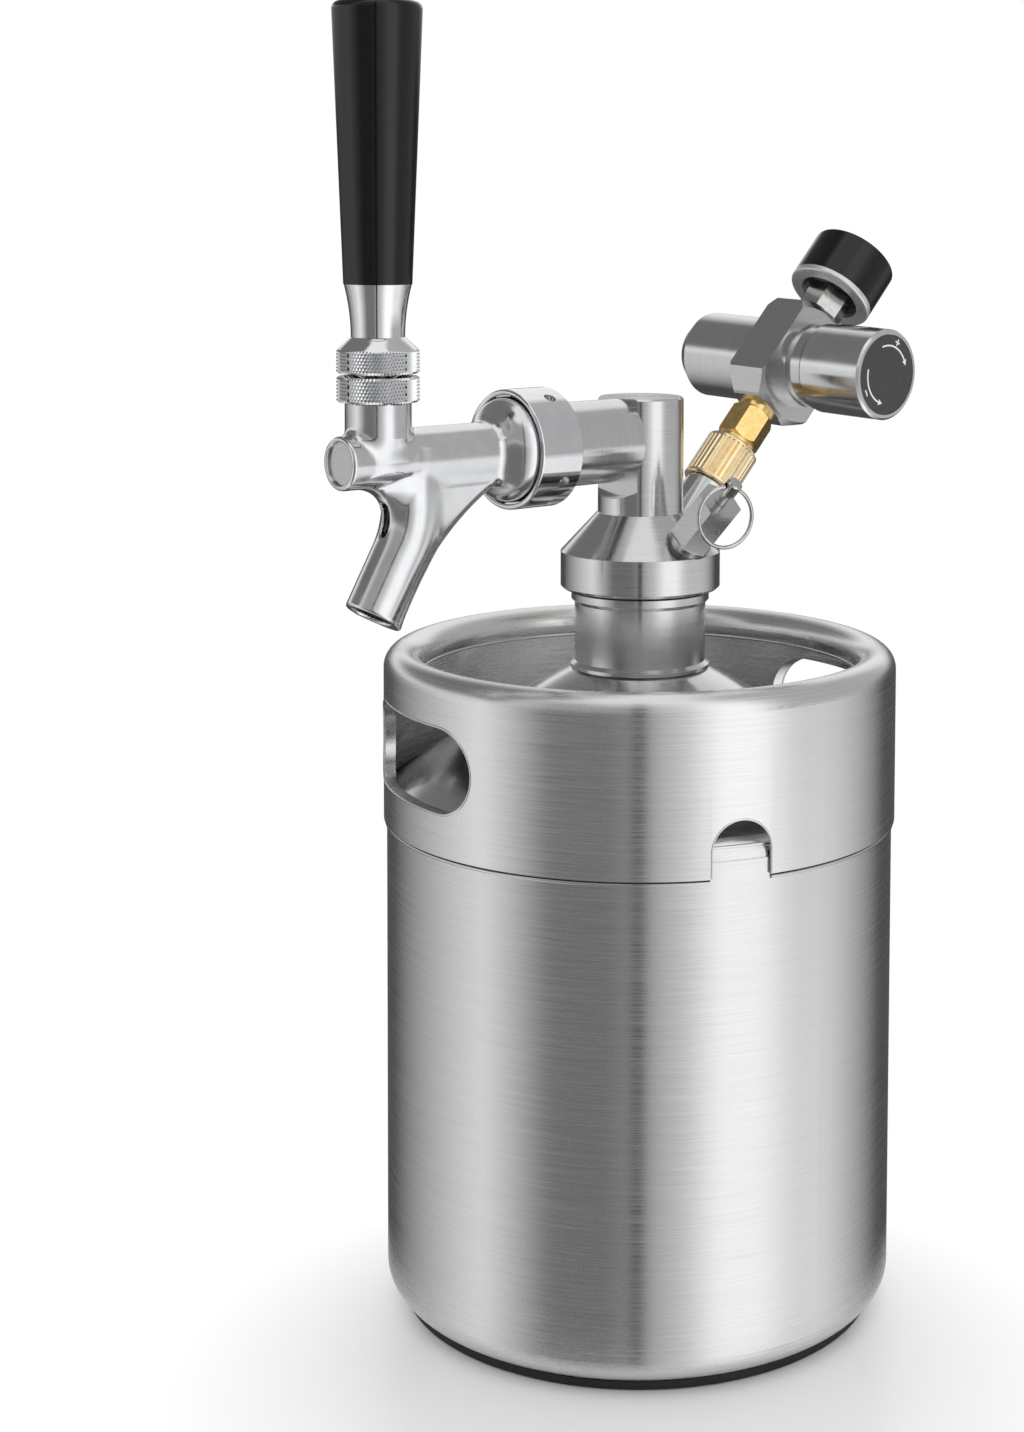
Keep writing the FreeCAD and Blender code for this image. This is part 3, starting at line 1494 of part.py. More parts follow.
def make_relief_body():
    floor = -S.relief_spot_depth
    body = turned("relief_body", relief_frame, [
        (0, floor - S.relief_spigot),
        (S.relief_spigot_radius, floor - S.relief_spigot),
        (S.relief_spigot_radius, floor),
        (S.relief_neck_radius, floor),
        (S.relief_neck_radius, S.relief_neck_length),
        (S.relief_seat_radius, S.relief_neck_length),
        (S.relief_seat_radius, S.relief_seat_length),
        (0, S.relief_seat_length),
    ])
    hexagonal = sketch_in(body, "XY_Plane", "relief_hexagon", offset=(0, 0, S.relief_seat_length))
    hexagon(hexagonal, S.relief_hex_radius)
    extrude(body, hexagonal, "relief_hex_padded", S.relief_hex)
    chamber = sketch_in(body, "XZ_Plane", "relief_chamber")
    outline(chamber, [
        (0, floor - S.relief_spigot),
        (S.relief_port_radius, floor - S.relief_spigot),
        (S.relief_port_radius, relief_seat),
        (S.relief_chamber_radius, relief_seat),
        (S.relief_chamber_radius, relief_chamber_top),
        (S.pin_radius + S.pin_gap, relief_chamber_top),
        (S.pin_radius + S.pin_gap, relief_hex_top),
        (0, relief_hex_top),
    ])
    spin(body, chamber, "relief_chamber_bored", kind="PartDesign::Groove")


def make_relief_pin():
    """Lift pin: a disc over the rubber seal, the stem, and a head with an eye for the pull ring."""
    turned("relief_seal", pin_frame, [
        (0, relief_seat + S.relief_seal_gap),
        (S.relief_disc_radius, relief_seat + S.relief_seal_gap),
        (S.relief_disc_radius, disc_low),
        (0, disc_low),
    ])
    body = turned("relief_pin", pin_frame, [
        (0, disc_low),
        (S.relief_disc_radius, disc_low),
        (S.relief_disc_radius, disc_top),
        (S.pin_radius, disc_top),
        (S.pin_radius, pin_tip - S.pin_head),
        (S.pin_head_radius, pin_tip - S.pin_head),
        (S.pin_head_radius, pin_tip - S.pin_chamfer),
        (S.pin_head_radius - S.pin_chamfer, pin_tip),
        (0, pin_tip),
    ])
    eye = sketch_in(body, "XZ_Plane", "pin_eye")
    circle(eye, S.pin_eye_radius, 0, pin_tip - S.pin_eye_place)
    extrude(body, eye, "pin_eye_drilled", cut=True, both=True)
    coil("relief_spring", relief_frame, S.relief_spring_radius, S.relief_spring_wire,
         S.relief_spring_pitch, disc_top + S.thread_gap,
         relief_chamber_top - disc_top - 2 * S.thread_gap, "V_Axis")


def make_pull_ring():
    """Split ring that hangs from the pin's eye, threaded along the eye's own axis."""
    x, y, z = pin_frame.along(pin_tip - S.pin_eye_place).origin
    eye = pin_frame.turn.multVec(Vector(0, 1, 0))
    hang = eye * eye.z - Vector(0, 0, 1)
    hang.normalize()
    drop = S.ring_radius + S.thread_gap
    ring = doc.addObject("Part::Torus", "pull_ring")
    ring.Label = "pull_ring"
    for name, size in (("Radius1", S.ring_radius), ("Radius2", S.ring_wire)):
        setattr(ring, name, size.value)
        ring.setExpression(name, size.formula)
    Frame(x + drop * hang.x, y + drop * hang.y, z + drop * hang.z,
          Rotation(Vector(0, 0, 1), eye.cross(hang))).place(ring)
    NODES.append(ring)


# ---------------------------------------------------------------- build and export

for make in (
    make_base_pad, make_keg_shell, make_keg_dome, make_keg_neck, make_keg_collar,
    make_seals, make_tap_head, make_dip_tube, make_riser_post,
    make_shank, make_coupling_nut,
    make_faucet_body, make_front_cap, make_ball_seats, make_bonnet,
    make_lever_stem, make_lever_collar, make_lever_ferrule, make_lever_handle,
    make_plunger, make_seat_washer,
    make_gas_nipple, make_union_nut, make_hex_adapter,
    make_regulator_block, make_cartridge_barrel, make_knob, make_regulator_inside,
    make_gauge_stem, make_bourdon_tube, make_gauge_case, make_gauge_needle,
    make_relief_body, make_relief_pin, make_pull_ring,
):
    make()

doc.recompute()

for thing in doc.Objects:
    broken = [word for word in thing.State if word in ("Invalid", "Error")]
    if broken:
        raise RuntimeError(f"{thing.Label} did not recompute: {thing.State}")
for node in NODES:
    if node.Shape.isNull() or not node.Shape.isValid() or not node.Shape.Solids:
        raise RuntimeError(f"{node.Label} has no valid solid")

for node in NODES:
    node.Shape.exportStep(os.path.join("parts", node.Label + ".step"))
    print(f"{node.Label}: {len(node.Shape.Solids)} solid, {node.Shape.Volume:.1f} mm3")
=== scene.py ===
"""Looks, light and camera for the mini keg with its tap and regulator.

The frame is that of the CAD solids: Z up, the faucet toward -Y, the regulator toward +Y. Lengths
are in mm and angles in degrees, unless a comment or math.radians says otherwise."""

import math

import bpy
import numpy as np
from mathutils import Matrix, Vector


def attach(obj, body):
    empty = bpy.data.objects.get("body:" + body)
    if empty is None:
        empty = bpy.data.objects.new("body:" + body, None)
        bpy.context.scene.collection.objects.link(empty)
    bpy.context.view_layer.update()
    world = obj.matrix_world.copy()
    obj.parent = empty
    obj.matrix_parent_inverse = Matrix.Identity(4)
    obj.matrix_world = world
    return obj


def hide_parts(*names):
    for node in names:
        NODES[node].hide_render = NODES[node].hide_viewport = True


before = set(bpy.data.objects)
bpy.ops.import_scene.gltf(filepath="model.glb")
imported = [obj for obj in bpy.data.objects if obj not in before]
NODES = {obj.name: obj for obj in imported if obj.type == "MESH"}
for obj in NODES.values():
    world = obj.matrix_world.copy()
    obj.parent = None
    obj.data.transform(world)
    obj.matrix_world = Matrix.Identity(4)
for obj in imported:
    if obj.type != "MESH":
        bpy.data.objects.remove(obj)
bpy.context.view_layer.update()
MM = 0.001

KEG_MIDDLE, UP = (0, 0, 0), (0, 0, 1)
BARREL_AXIS = (0, 1, 0)
BARREL_HEIGHT = 276.5
LEVER_AXIS = 103.3
BALL_HEIGHT = 290.0
REGULATOR_MIDDLE = (0, 66.776, 297.863)
REGULATOR_AXIS = (0.99863, 0.03815, -0.03583)
GAS_AXIS = (0.0, 0.68455, 0.72897)
# The regulator's own X, Y and Z as columns, and its middle.
REGULATOR = Matrix((
    (0.9986, -0.0523, 0.0, REGULATOR_MIDDLE[0]),
    (0.0382, 0.728, 0.6845, REGULATOR_MIDDLE[1]),
    (-0.0358, -0.6836, 0.729, REGULATOR_MIDDLE[2]),
    (0.0, 0.0, 0.0, 1.0)))


# ---------------------------------------------------------------- node helpers

def linear(hex_colour):
    """An sRGB hex colour, such as "#C8C6C2", as linear RGBA."""
    def channel(start):
        value = int(hex_colour[start:start + 2], 16) / 255
        return value / 12.92 if value <= 0.04045 else ((value + 0.055) / 1.055) ** 2.4
    return (channel(1), channel(3), channel(5), 1.0)


def add(tree, kind, inputs=None, **settings):
    """Adds a node with its own settings. Each input is a number, a colour, a socket, or a node
    whose first output is linked."""
    node = tree.nodes.new("ShaderNode" + kind)
    for name, value in settings.items():
        setattr(node, name, value)
    for key, value in (inputs or {}).items():
        if isinstance(value, bpy.types.Node):
            value = value.outputs[0]
        if isinstance(value, bpy.types.NodeSocket):
            tree.links.new(value, node.inputs[key])
        else:
            node.inputs[key].default_value = value
    return node


def new_material(name):
    material = bpy.data.materials.new(name)
    material.use_nodes = True
    material.node_tree.nodes.clear()
    return material, material.node_tree


NOISE = {"Scale": 1.0, "Detail": 3.0}
# Nearly all of the noise lies between these two values.
NOISE_LOW, NOISE_HIGH = 0.3, 0.7
# A slanted direction, so that the lines round an axis end at a different place in each row.
LINE_SLANT = (1.0, 0.8, 0.5)


def grain(tree, size):
    """Even noise with grains of a size in mm, or of one size for each of X, Y and Z."""
    sizes = size if isinstance(size, tuple) else (size, size, size)
    place = add(tree, "TexCoord").outputs["Object"]
    cells = add(tree, "VectorMath", {0: place, 1: tuple(1 / (side * MM) for side in sizes)},
                operation="MULTIPLY")
    return add(tree, "TexNoise", {"Vector": cells, **NOISE}).outputs["Fac"]


def round_grain(tree, middle, axis, fine, long):
    """Noise in lines `fine` mm wide and about `long` mm long that run round an axis, on its
    walls and its faces alike, and the direction of those lines."""
    place = add(tree, "TexCoord").outputs["Object"]
    arm = add(tree, "VectorMath", {0: place, 1: tuple(value * MM for value in middle)},
              operation="SUBTRACT")
    way_round = add(tree, "VectorMath", {0: axis, 1: arm}, operation="CROSS_PRODUCT")
    off_axis = add(tree, "VectorMath", {0: way_round}, operation="LENGTH")
    along = add(tree, "VectorMath", {0: arm, 1: axis}, operation="DOT_PRODUCT")
    slant = add(tree, "VectorMath", {0: place, 1: LINE_SLANT}, operation="DOT_PRODUCT")
    spread = add(tree, "CombineXYZ", {
        axis_name: node.outputs["Value"]
        for axis_name, node in zip("XYZ", (off_axis, along, slant))})
    cells = add(tree, "VectorMath",
                {0: spread, 1: tuple(1 / (side * MM) for side in (fine, fine, long))},
                operation="MULTIPLY")
    lines = add(tree, "TexNoise", {"Vector": cells, **NOISE}).outputs["Fac"]
    return lines, add(tree, "VectorMath", {0: way_round}, operation="NORMALIZE")


def two_tone(tree, texture, dark, light):
    """A colour that runs from dark to light with a texture."""
    share = add(tree, "MapRange", {
        "Value": texture, "From Min": NOISE_LOW, "From Max": NOISE_HIGH})
    mix = add(tree, "Mix", {"Factor": share}, data_type="RGBA")
    mix.inputs["A"].default_value = linear(dark)
    mix.inputs["B"].default_value = linear(light)
    return mix.outputs["Result"]


# ---------------------------------------------------------------- finishes

# Height of the deepest marks on any finish, and how strongly a moulding's orange peel shows.
MARK_DEPTH, PEEL_RELIEF = 0.05, 0.05
PLASTIC_IOR = 1.46
POLYCARBONATE_IOR = 1.58
# A quarter turn: the finish smears across its lines, not along them.
ACROSS_LINES = 0.25


def metal(tree, texture, colours, roughness, relief=0.0, way_round=None, brushed=0.0):
    """A bare metal that follows a texture. Where the texture is lines that run a way round,
    `brushed` says how far they smear what the metal mirrors."""
    inputs = {
        "Base Color": two_tone(tree, texture, *colours),
        "Metallic": 1.0,
        "Roughness": add(tree, "MapRange", {
            "Value": texture, "From Min": NOISE_LOW, "From Max": NOISE_HIGH,
            "To Min": roughness[0], "To Max": roughness[1]}),
    }
    if relief:
        inputs["Normal"] = add(tree, "Bump", {
            "Height": texture, "Strength": relief, "Distance": MARK_DEPTH * MM})
    if way_round:
        inputs |= {"Tangent": way_round, "Anisotropic": brushed,
                   "Anisotropic Rotation": ACROSS_LINES}
    add(tree, "OutputMaterial", {"Surface": add(tree, "BsdfPrincipled", inputs)})


def brushed_stainless(name, colours):
    """Sheet stainless, spun and brushed: fine level lines that draw each light and dark out
    into an upright band. A line is really about 0.05 mm wide; it is drawn at 0.35 mm so that
    it shows."""
    material, tree = new_material("stainless_304_" + name)
    lines, way_round = round_grain(tree, KEG_MIDDLE, UP, fine=0.35, long=30)
    metal(tree, lines, colours, (0.22, 0.32), 0.06, way_round, brushed=0.8)
    return material


def turned_stainless(name, middle, axis):
    """Turned stainless: satin, with faint tool rings round the axis. A ring is really about
    0.1 mm wide; it is drawn at 0.3 mm so that it shows."""
    material, tree = new_material("stainless_satin_turned_" + name)
    rings, way_round = round_grain(tree, middle, axis, fine=0.3, long=25)
    metal(tree, rings, ("#CFCFD0", "#DADADA"), (0.15, 0.22), 0.03, way_round, brushed=0.6)
    return material


def milled_stainless():
    """Milled stainless: an even grey satin, with faint straight cutter marks 0.3 mm apart."""
    material, tree = new_material("stainless_satin_milled")
    metal(tree, grain(tree, (12.0, 12.0, 0.3)), ("#C6C6C7", "#CFCFCF"), (0.22, 0.27), 0.015)
    return material


def polished_chrome():
    """Chrome plate over polished brass: a cool mirror with the faintest wipe marks."""
    material, tree = new_material("chrome_plate_polished")
    metal(tree, grain(tree, 8.0), ("#DDDEE0", "#E6E7E8"), (0.04, 0.08))
    return material


def satin_chrome():
    """Chrome plate over metal that was only tumbled smooth: soft, not a mirror."""
    material, tree = new_material("chrome_plate_satin")
    metal(tree, grain(tree, 5.0), ("#D6D7D9", "#E0E1E2"), (0.14, 0.20))
    return material


def plain_steel(name, colours, roughness):
    """Plain steel of the small parts, as it was drawn or with a dull zinc plate."""
    material, tree = new_material("steel_" + name)
    metal(tree, grain(tree, 1.5), colours, roughness)
    return material


def machined_brass(name, colours, roughness):
    """Machined yellow brass: warm and bright, a little redder where it has aged."""
    material, tree = new_material("brass_machined_" + name)
    metal(tree, grain(tree, 2.0), colours, roughness)
    return material


def moulded(name, colours, roughness, grit):
    """Moulded plastic or rubber, or enamel: one colour, with an orange peel of `grit` mm."""
    material, tree = new_material(name)
    peel = grain(tree, grit)
    shader = add(tree, "BsdfPrincipled", {
        "Base Color": two_tone(tree, peel, *colours),
        "Roughness": roughness,
        "IOR": PLASTIC_IOR,
        "Normal": add(tree, "Bump", {
            "Height": peel, "Strength": PEEL_RELIEF, "Distance": MARK_DEPTH * MM})})
    add(tree, "OutputMaterial", {"Surface": shader})
    return material


def clear_lens():
    """Polished polycarbonate window: clear, with a sharp glint."""
    material, tree = new_material("polycarbonate_clear")
    shader = add(tree, "BsdfPrincipled", {
        "Base Color": linear("#F4F7F7"),
        "Roughness": 0.03,
        "IOR": POLYCARBONATE_IOR,
        "Transmission Weight": 1.0})
    add(tree, "OutputMaterial", {"Surface": shader})
    return material


FINISHES = {
    "brushed_steel": brushed_stainless("brushed_round", ("#D0D0D1", "#DEDEDE")),
    "machined_steel": milled_stainless(),
    "polished_chrome": polished_chrome(),
    "plain_steel": plain_steel("bright_drawn", ("#BDBCBA", "#D4D3D1"), (0.14, 0.24)),
    "yellow_brass": machined_brass("bright", ("#E9BE70", "#F6DB9C"), (0.15, 0.24)),
    # The handle and the gauge's case: pressed and buffed, near black, with narrow glints.
    "black_plastic": moulded("phenolic_black_gloss", ("#0B0B0C", "#121213"), 0.12, 2.5),
    # The pad and the seals: dull, with no glint.
    "black_rubber": moulded("nitrile_rubber_black", ("#161616", "#1D1D1D"), 0.6, 0.4),
    # The washers round the lever's ball: creamy, with a soft sheen.
    "white_nylon": moulded("nylon_natural", ("#DEDCD5", "#E8E6E0"), 0.45, 0.6),
    # The gauge's dial with its needle, ticks and numbers: flat and even.
    "dial_paint": moulded("dial_enamel_white", ("#EDEDEB", "#F3F3F1"), 0.5, 0.5),
    "needle_paint": moulded("needle_enamel_black", ("#0D0D0D", "#141414"), 0.45, 0.5),
    "clear_lens": clear_lens(),
}
SATIN_CHROME = satin_chrome()

# Nodes whose finish differs from what others of their slot have. The collar has a lighter copy
# of the keg's brushed steel: painted light, standing in for the brighter light on the collar's
# inner wall. The union nut's brass is paler and duller than the hex adapter's, and the knob's
# dial is a dark grey plastic.
OWN_FINISHES = {
    # A lighter copy of the keg's steel: painted light for the collar's brighter inner wall.
    "keg_collar": brushed_stainless("brushed_collar", ("#D6D6D7", "#E4E4E4")),
    "union_nut": machined_brass("satin", ("#F2D6A4", "#FAE9C6"), (0.22, 0.3)),
    "pressure_knob": SATIN_CHROME,
    "knob_dial": moulded("dial_dark_satin", ("#39393A", "#434344"), 0.35, 1.0),
    "gauge_back_ring": plain_steel("zinc_plated", ("#DADADA", "#E8E8E8"), (0.38, 0.48)),
}
TURNED = (
    ("upright", KEG_MIDDLE, UP, ("tap_head", "riser_post", "keg_neck", "keg_dome")),
    ("barrel", (0, 0, BARREL_HEIGHT), BARREL_AXIS, ("shank", "faucet_cap")),
    ("regulator", REGULATOR_MIDDLE, REGULATOR_AXIS, ("knob_shoulder", "cartridge_barrel")),
    ("inlet", REGULATOR_MIDDLE, GAS_AXIS, ("gas_nipple",)),
)
for name, middle, axis, turned_nodes in TURNED:
    OWN_FINISHES |= dict.fromkeys(turned_nodes, turned_stainless(name, middle, axis))

for name, node in NODES.items():
    for place in node.material_slots:
        slot_name = place.material.name.split(".")[0]
        place.material = OWN_FINISHES.get(name, FINISHES[slot_name])


# ---------------------------------------------------------------- pieces of this scene

# Faces that meet at more than this keep a sharp edge between them.
SHARP_ANGLE = math.radians(35)


def make_piece(name, points, faces, body, slot, node=None, normals=None):
    """A mesh, from points in mm, that rides on a body and may stand for a CAD node."""
    mesh = bpy.data.meshes.new(name)
    mesh.from_pydata((np.asarray(points) * MM).tolist(), [], faces)
    mesh.polygons.foreach_set("use_smooth", [True] * len(mesh.polygons))
    if normals is None:
        mesh.set_sharp_from_angle(angle=SHARP_ANGLE)
    else:
        mesh.normals_split_custom_set_from_vertices(normals.tolist())
    mesh.materials.append(FINISHES[slot])
    piece = bpy.data.objects.new(name, mesh)
    bpy.context.scene.collection.objects.link(piece)
    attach(piece, body)
    if node:
        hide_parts(node)
    return piece


# ---------------------------------------------------------------- faucet casting

# Places are forward from the keg's axis and up from the barrel's axis. A bar or a bore is given
# by its radius and its two ends. A pair of rows gives a size at each of some places.
FAUCET_BACK, FAUCET_FRONT = 50, 117.34
BARREL_TAPER = (95, 110), (9.0, 8.0)
BULB_START, BULB_FLAT, BULB_ROUND = 54.04, 7.7, 8.6
TAIL = (14.2, 45.54, 55)
NECK_FLARE = (0, 7), (7.9, 9.75)
NECK_ENDS = (-2, 17.1)
NECK_THREAD = (9.4, 10, 20.5)

SPOUT_TOP, SPOUT_DROP, SPOUT_RUN = 92.0, 13.8, 19.9
SPOUT_BEND, SPOUT_ANGLE = 30.0, math.radians(30)
SPOUT_RADIUS, SPOUT_BORE = 8.4, 6.3
NOSE_START = (SPOUT_TOP + SPOUT_BEND * (1 - math.cos(SPOUT_ANGLE)),
              -SPOUT_DROP - SPOUT_BEND * math.sin(SPOUT_ANGLE))

# The web's back edge is an arc about this middle. Its half width grows up the edge, and from
# the edge to the spout, which it runs into by a little.
WEB_MIDDLE, WEB_RADIUS = (24.94, -73.6), 75.0
WEB_EDGE = (-46, -26, -9), (2.8, 5.2, 7.6)
WEB_AT_SPOUT, WEB_OVERLAP = 8.0, 1
WEB_TOP = 3

# The fillet in the fork of spout and barrel: its radius by depth under the barrel's axis, and
# how it thins toward the sides.
FORK_FILLET = (1, 8), (1.0, 12.0)
FORK_SIDE, FORK_LEAST = 9, 0.12
# Radii of the other fillets, and of the rounded edges.
WEB_FILLET, NECK_FILLET, BULB_FILLET = 2.4, 3.0, 3.5
BARREL_EDGE, WEB_BACK_EDGE, WEB_NOSE_EDGE = 1.2, 3.4, 5.0
MOUTH_EDGE, SPOUT_BORE_EDGE, HOLE_EDGE = 1.0, 0.8, 0.6

CHAMBER_BORE = (9.0, 0, 58.54)
VALVE_BORE = (5.0, 58, 112)
CAP_BORE = (6.4, 111.84, 130)
THROAT_BORE = (6.2, 0, 9)
HOUSING_BORE = (8.35, 8.5, 30)
VENT_MIDDLE, VENT_HALF, VENT_RADIUS = -17.5, 3.7, 1.6

CASTING_BOX = (-18, 44, -52), (18, 119, 22)
CASTING_STEP = 0.5
TOWARD_FAUCET = (1, -1, 1)


def blended(first, second, radius):
    """Union of two distances, with a fillet of about the radius where they meet."""
    near = np.maximum(radius - np.abs(first - second), 0) / radius
    return np.minimum(first, second) - near * near * radius / 4


def shared(first, second, radius):
    """Overlap of two distances, with its edge rounded to about the radius."""
    return -blended(-first, -second, radius)


def round_bar(off_axis, along, radius, start, end):
    """Distance to a straight round bar, or to what a drill takes out."""
    return np.maximum(off_axis - radius, np.maximum(start - along, along - end))


def behind_spout(forward, up):
    """Distance to the spout's centre line in the middle plane, above 0 behind it, and the
    distance along its straight nose."""
    ahead, over = forward - NOSE_START[0], up - NOSE_START[1]
    along = ahead * math.sin(SPOUT_ANGLE) - over * math.cos(SPOUT_ANGLE)
    nose = -ahead * math.cos(SPOUT_ANGLE) - over * math.sin(SPOUT_ANGLE)
    bend = np.hypot(forward - (SPOUT_TOP + SPOUT_BEND), up + SPOUT_DROP) - SPOUT_BEND
    behind = np.where(up > -SPOUT_DROP, SPOUT_TOP - forward, np.where(along < 0, bend, nose))
    return behind, along


def web_distance(side, forward, up, behind):
    """Distance to the web, a blade between its back edge and the spout."""
    from_edge = np.hypot(forward - WEB_MIDDLE[0], up - WEB_MIDDLE[1]) - WEB_RADIUS
    edge = np.interp(up, *WEB_EDGE)
    depth = np.maximum(from_edge + behind, 0.1)
    width = edge + (WEB_AT_SPOUT - edge) * np.clip(from_edge / depth, 0, 1)
    web = shared(np.abs(side) - width, -from_edge, WEB_BACK_EDGE)
    web = shared(web, -behind - WEB_OVERLAP, WEB_NOSE_EDGE)
    return np.maximum(web, up - WEB_TOP)


def casting_distance(side, forward, up):
    """Distance in mm to the faucet's casting, below 0 inside its metal."""
    off_barrel = np.hypot(side, up)
    off_neck = np.hypot(side, forward - LEVER_AXIS)
    behind, along_nose = behind_spout(forward, up)
    off_spout = np.hypot(side, behind)

    barrel = shared(off_barrel - np.interp(forward, *BARREL_TAPER),
                    np.maximum(FAUCET_BACK - forward, forward - FAUCET_FRONT), BARREL_EDGE)
    bulb = np.hypot(forward - BULB_START, np.maximum(off_barrel - BULB_FLAT, 0)) - BULB_ROUND
    bulb = np.maximum(bulb, BULB_START - forward)
    tail = round_bar(off_barrel, forward, *TAIL)
    neck = round_bar(off_neck, up, np.interp(up, *NECK_FLARE), *NECK_ENDS)
    thread = round_bar(off_neck, up, *NECK_THREAD)
    spout = np.maximum(off_spout - SPOUT_RADIUS, up)
    spout_bore = np.maximum(off_spout - SPOUT_BORE, up)
    vent = np.hypot(side, np.maximum(np.abs(up - VENT_MIDDLE) - VENT_HALF, 0)) - VENT_RADIUS
    vent = np.maximum(vent, SPOUT_TOP - forward)

    fork = (np.interp(-up, *FORK_FILLET)
            * np.clip(1 - (side / FORK_SIDE) ** 2, FORK_LEAST, 1))
    body = blended(barrel, spout, fork)
    body = blended(body, web_distance(side, forward, up, behind), WEB_FILLET)
    body = shared(body, along_nose - SPOUT_RUN, MOUTH_EDGE)
    body = shared(body, -spout_bore, SPOUT_BORE_EDGE)
    body = blended(body, neck, NECK_FILLET)
    body = blended(body, bulb, BULB_FILLET)
    body = np.minimum(body, np.minimum(tail, thread))
    body = shared(body, -round_bar(off_barrel, forward, *CAP_BORE), HOLE_EDGE)
    body = shared(body, -vent, HOLE_EDGE)
    for off_axis, along, bore in (
            (off_barrel, forward, CHAMBER_BORE), (off_barrel, forward, VALVE_BORE),
            (off_neck, up, THROAT_BORE), (off_neck, up, HOUSING_BORE)):
        body = np.maximum(body, -round_bar(off_axis, along, *bore))
    return body


def surface_net(distance, low, high, step):
    """Points and quads of the surface where the distance is 0, on a grid of the step. Each
    cell that the surface crosses has one point, and each crossed grid line one quad."""
    axes = [np.arange(a, b + step, step) for a, b in zip(low, high)]
    field = distance(*np.meshgrid(*axes, indexing="ij"))
    inside = field < 0
    shape = [len(axis) - 1 for axis in axes]
    total, count = np.zeros(shape + [3]), np.zeros(shape)
    corners = [(i, j, k) for i in (0, 1) for j in (0, 1) for k in (0, 1)]

    def corner(array, at):
        return array[tuple(slice(a, a + n) for a, n in zip(at, shape))]

    for start in corners:
        for axis in range(3):
            if start[axis]:
                continue
            end = tuple(1 if i == axis else start[i] for i in range(3))
            first, last = corner(field, start), corner(field, end)
            crossed = (first < 0) != (last < 0)
            part = np.where(crossed, first / np.where(crossed, first - last, 1), 0)
            spot = np.stack([np.full(shape, float(s)) for s in start], axis=-1)
            spot[..., axis] += part
            total += np.where(crossed[..., None], spot, 0)
            count += crossed
    used = count > 0
    index = np.full(shape, -1)
    index[used] = np.arange(used.sum())
    cell = np.stack(np.nonzero(used), axis=-1)
    points = (cell + total[used] / count[used][:, None]) * step + np.array(low)

    quads = []
    for axis in range(3):
        across, up = [i for i in range(3) if i != axis]
        first = inside[tuple(slice(0, -1) if i == axis else slice(1, -1) for i in range(3))]
        last = inside[tuple(slice(1, None) if i == axis else slice(1, -1) for i in range(3))]
        for solid, turn in ((first & ~last, 1), (~first & last, -1)):
            spot = np.stack(np.nonzero(solid), axis=-1)
            spot[:, across] += 1
            spot[:, up] += 1
            ring = []
            for back, down in ((0, 0), (1, 0), (1, 1), (0, 1)):
                place = spot.copy()
                place[:, across] -= back
                place[:, up] -= down
                ring.append(index[tuple(place.T)])
            quad = np.stack(ring, axis=-1)
            if (turn < 0) != (axis == 1):
                quad = quad[:, ::-1]
            quads.append(quad)
    return points, np.concatenate(quads)


def slope_of(distance, points, reach=0.02):
    """How the distance grows along each axis at each point."""
    return np.stack([distance(*(points + shift).T) - distance(*(points - shift).T)
                     for shift in np.eye(3) * reach], axis=-1) / (2 * reach)


def settled(points, distance, rounds=3, least_slope=0.25, longest_move=0.3):
    """The points moved straight on to the surface where the distance is 0."""
    for _ in range(rounds):
        here = distance(*points.T)
        slope = slope_of(distance, points)
        size = np.maximum((slope * slope).sum(axis=-1), least_slope)
        move = np.clip(here / size, -longest_move, longest_move)
        points = points - slope * move[:, None]
    return points


points, quads = surface_net(casting_distance, *CASTING_BOX, CASTING_STEP)
points = settled(points, casting_distance)
normals = slope_of(casting_distance, points) * TOWARD_FAUCET
normals /= np.maximum(np.linalg.norm(normals, axis=-1, keepdims=True), 0.01)
points = points * TOWARD_FAUCET + (0, 0, BARREL_HEIGHT)
casting = make_piece("faucet_casting", points, quads[:, ::-1].tolist(), "tap",
                     "polished_chrome", "faucet_body", normals)
casting.material_slots[0].material = SATIN_CHROME


# ---------------------------------------------------------------- knurled rings

KNURL_RADIUS, KNURL_DEPTH = 12.2, 0.5
KNURL_ROWS, DIAMONDS = 6, 72
# Radius and height over the ball's middle, round each ring's section. The knurled band is the
# side at the knurl's radius.
BONNET_OUTLINE = (
    (9.5, 3.9), (11.6, 3.9), (12.2, 4.5), (12.2, 10.7), (11.6, 11.3), (10.3, 11.3), (7.4, 7.1),
    (9.5, 7.1))
LEVER_COLLAR_OUTLINE = (
    (4.0, 16.42), (8.4, 14.66), (11.59, 12.3), (12.2, 12.9), (12.2, 18.7), (11.6, 19.3),
    (7.9, 22.8), (4.0, 22.8))


def knurled_ring(name, outline, body, node):
    """A turned ring with diamonds rolled into its band. Two families of grooves cross at every
    second corner of an even grid."""
    low, high = [height for radius, height in outline if radius == KNURL_RADIUS]
    rings = []
    for radius, height in outline:
        if radius != KNURL_RADIUS:
            rings.append((radius, height, False))
        elif height == low:
            rings += [(radius, low + (high - low) * i / KNURL_ROWS, True)
                      for i in range(KNURL_ROWS + 1)]
    columns = DIAMONDS * 2
    points = []
    for row, (radius, height, rolled) in enumerate(rings):
        for column in range(columns):
            deep = rolled and (row + column) % 2 == 0
            turn = math.tau * column / columns
            reach = radius - (KNURL_DEPTH if deep else 0)
            points.append((reach * math.cos(turn), reach * math.sin(turn) - LEVER_AXIS,
                           height + BALL_HEIGHT))
    faces = []
    for row, (_, _, rolled) in enumerate(rings):
        above = (row + 1) % len(rings)
        for column in range(columns):
            right = (column + 1) % columns
            a, b = row * columns + column, row * columns + right
            d, c = above * columns + column, above * columns + right
            if not (rolled and rings[above][2]):
                faces.append((a, b, c, d))
            elif (row + column) % 2 == 0:
                faces += [(a, b, c), (a, c, d)]
            else:
                faces += [(a, b, d), (b, c, d)]
    return make_piece(name, points, faces, body, "polished_chrome", node)


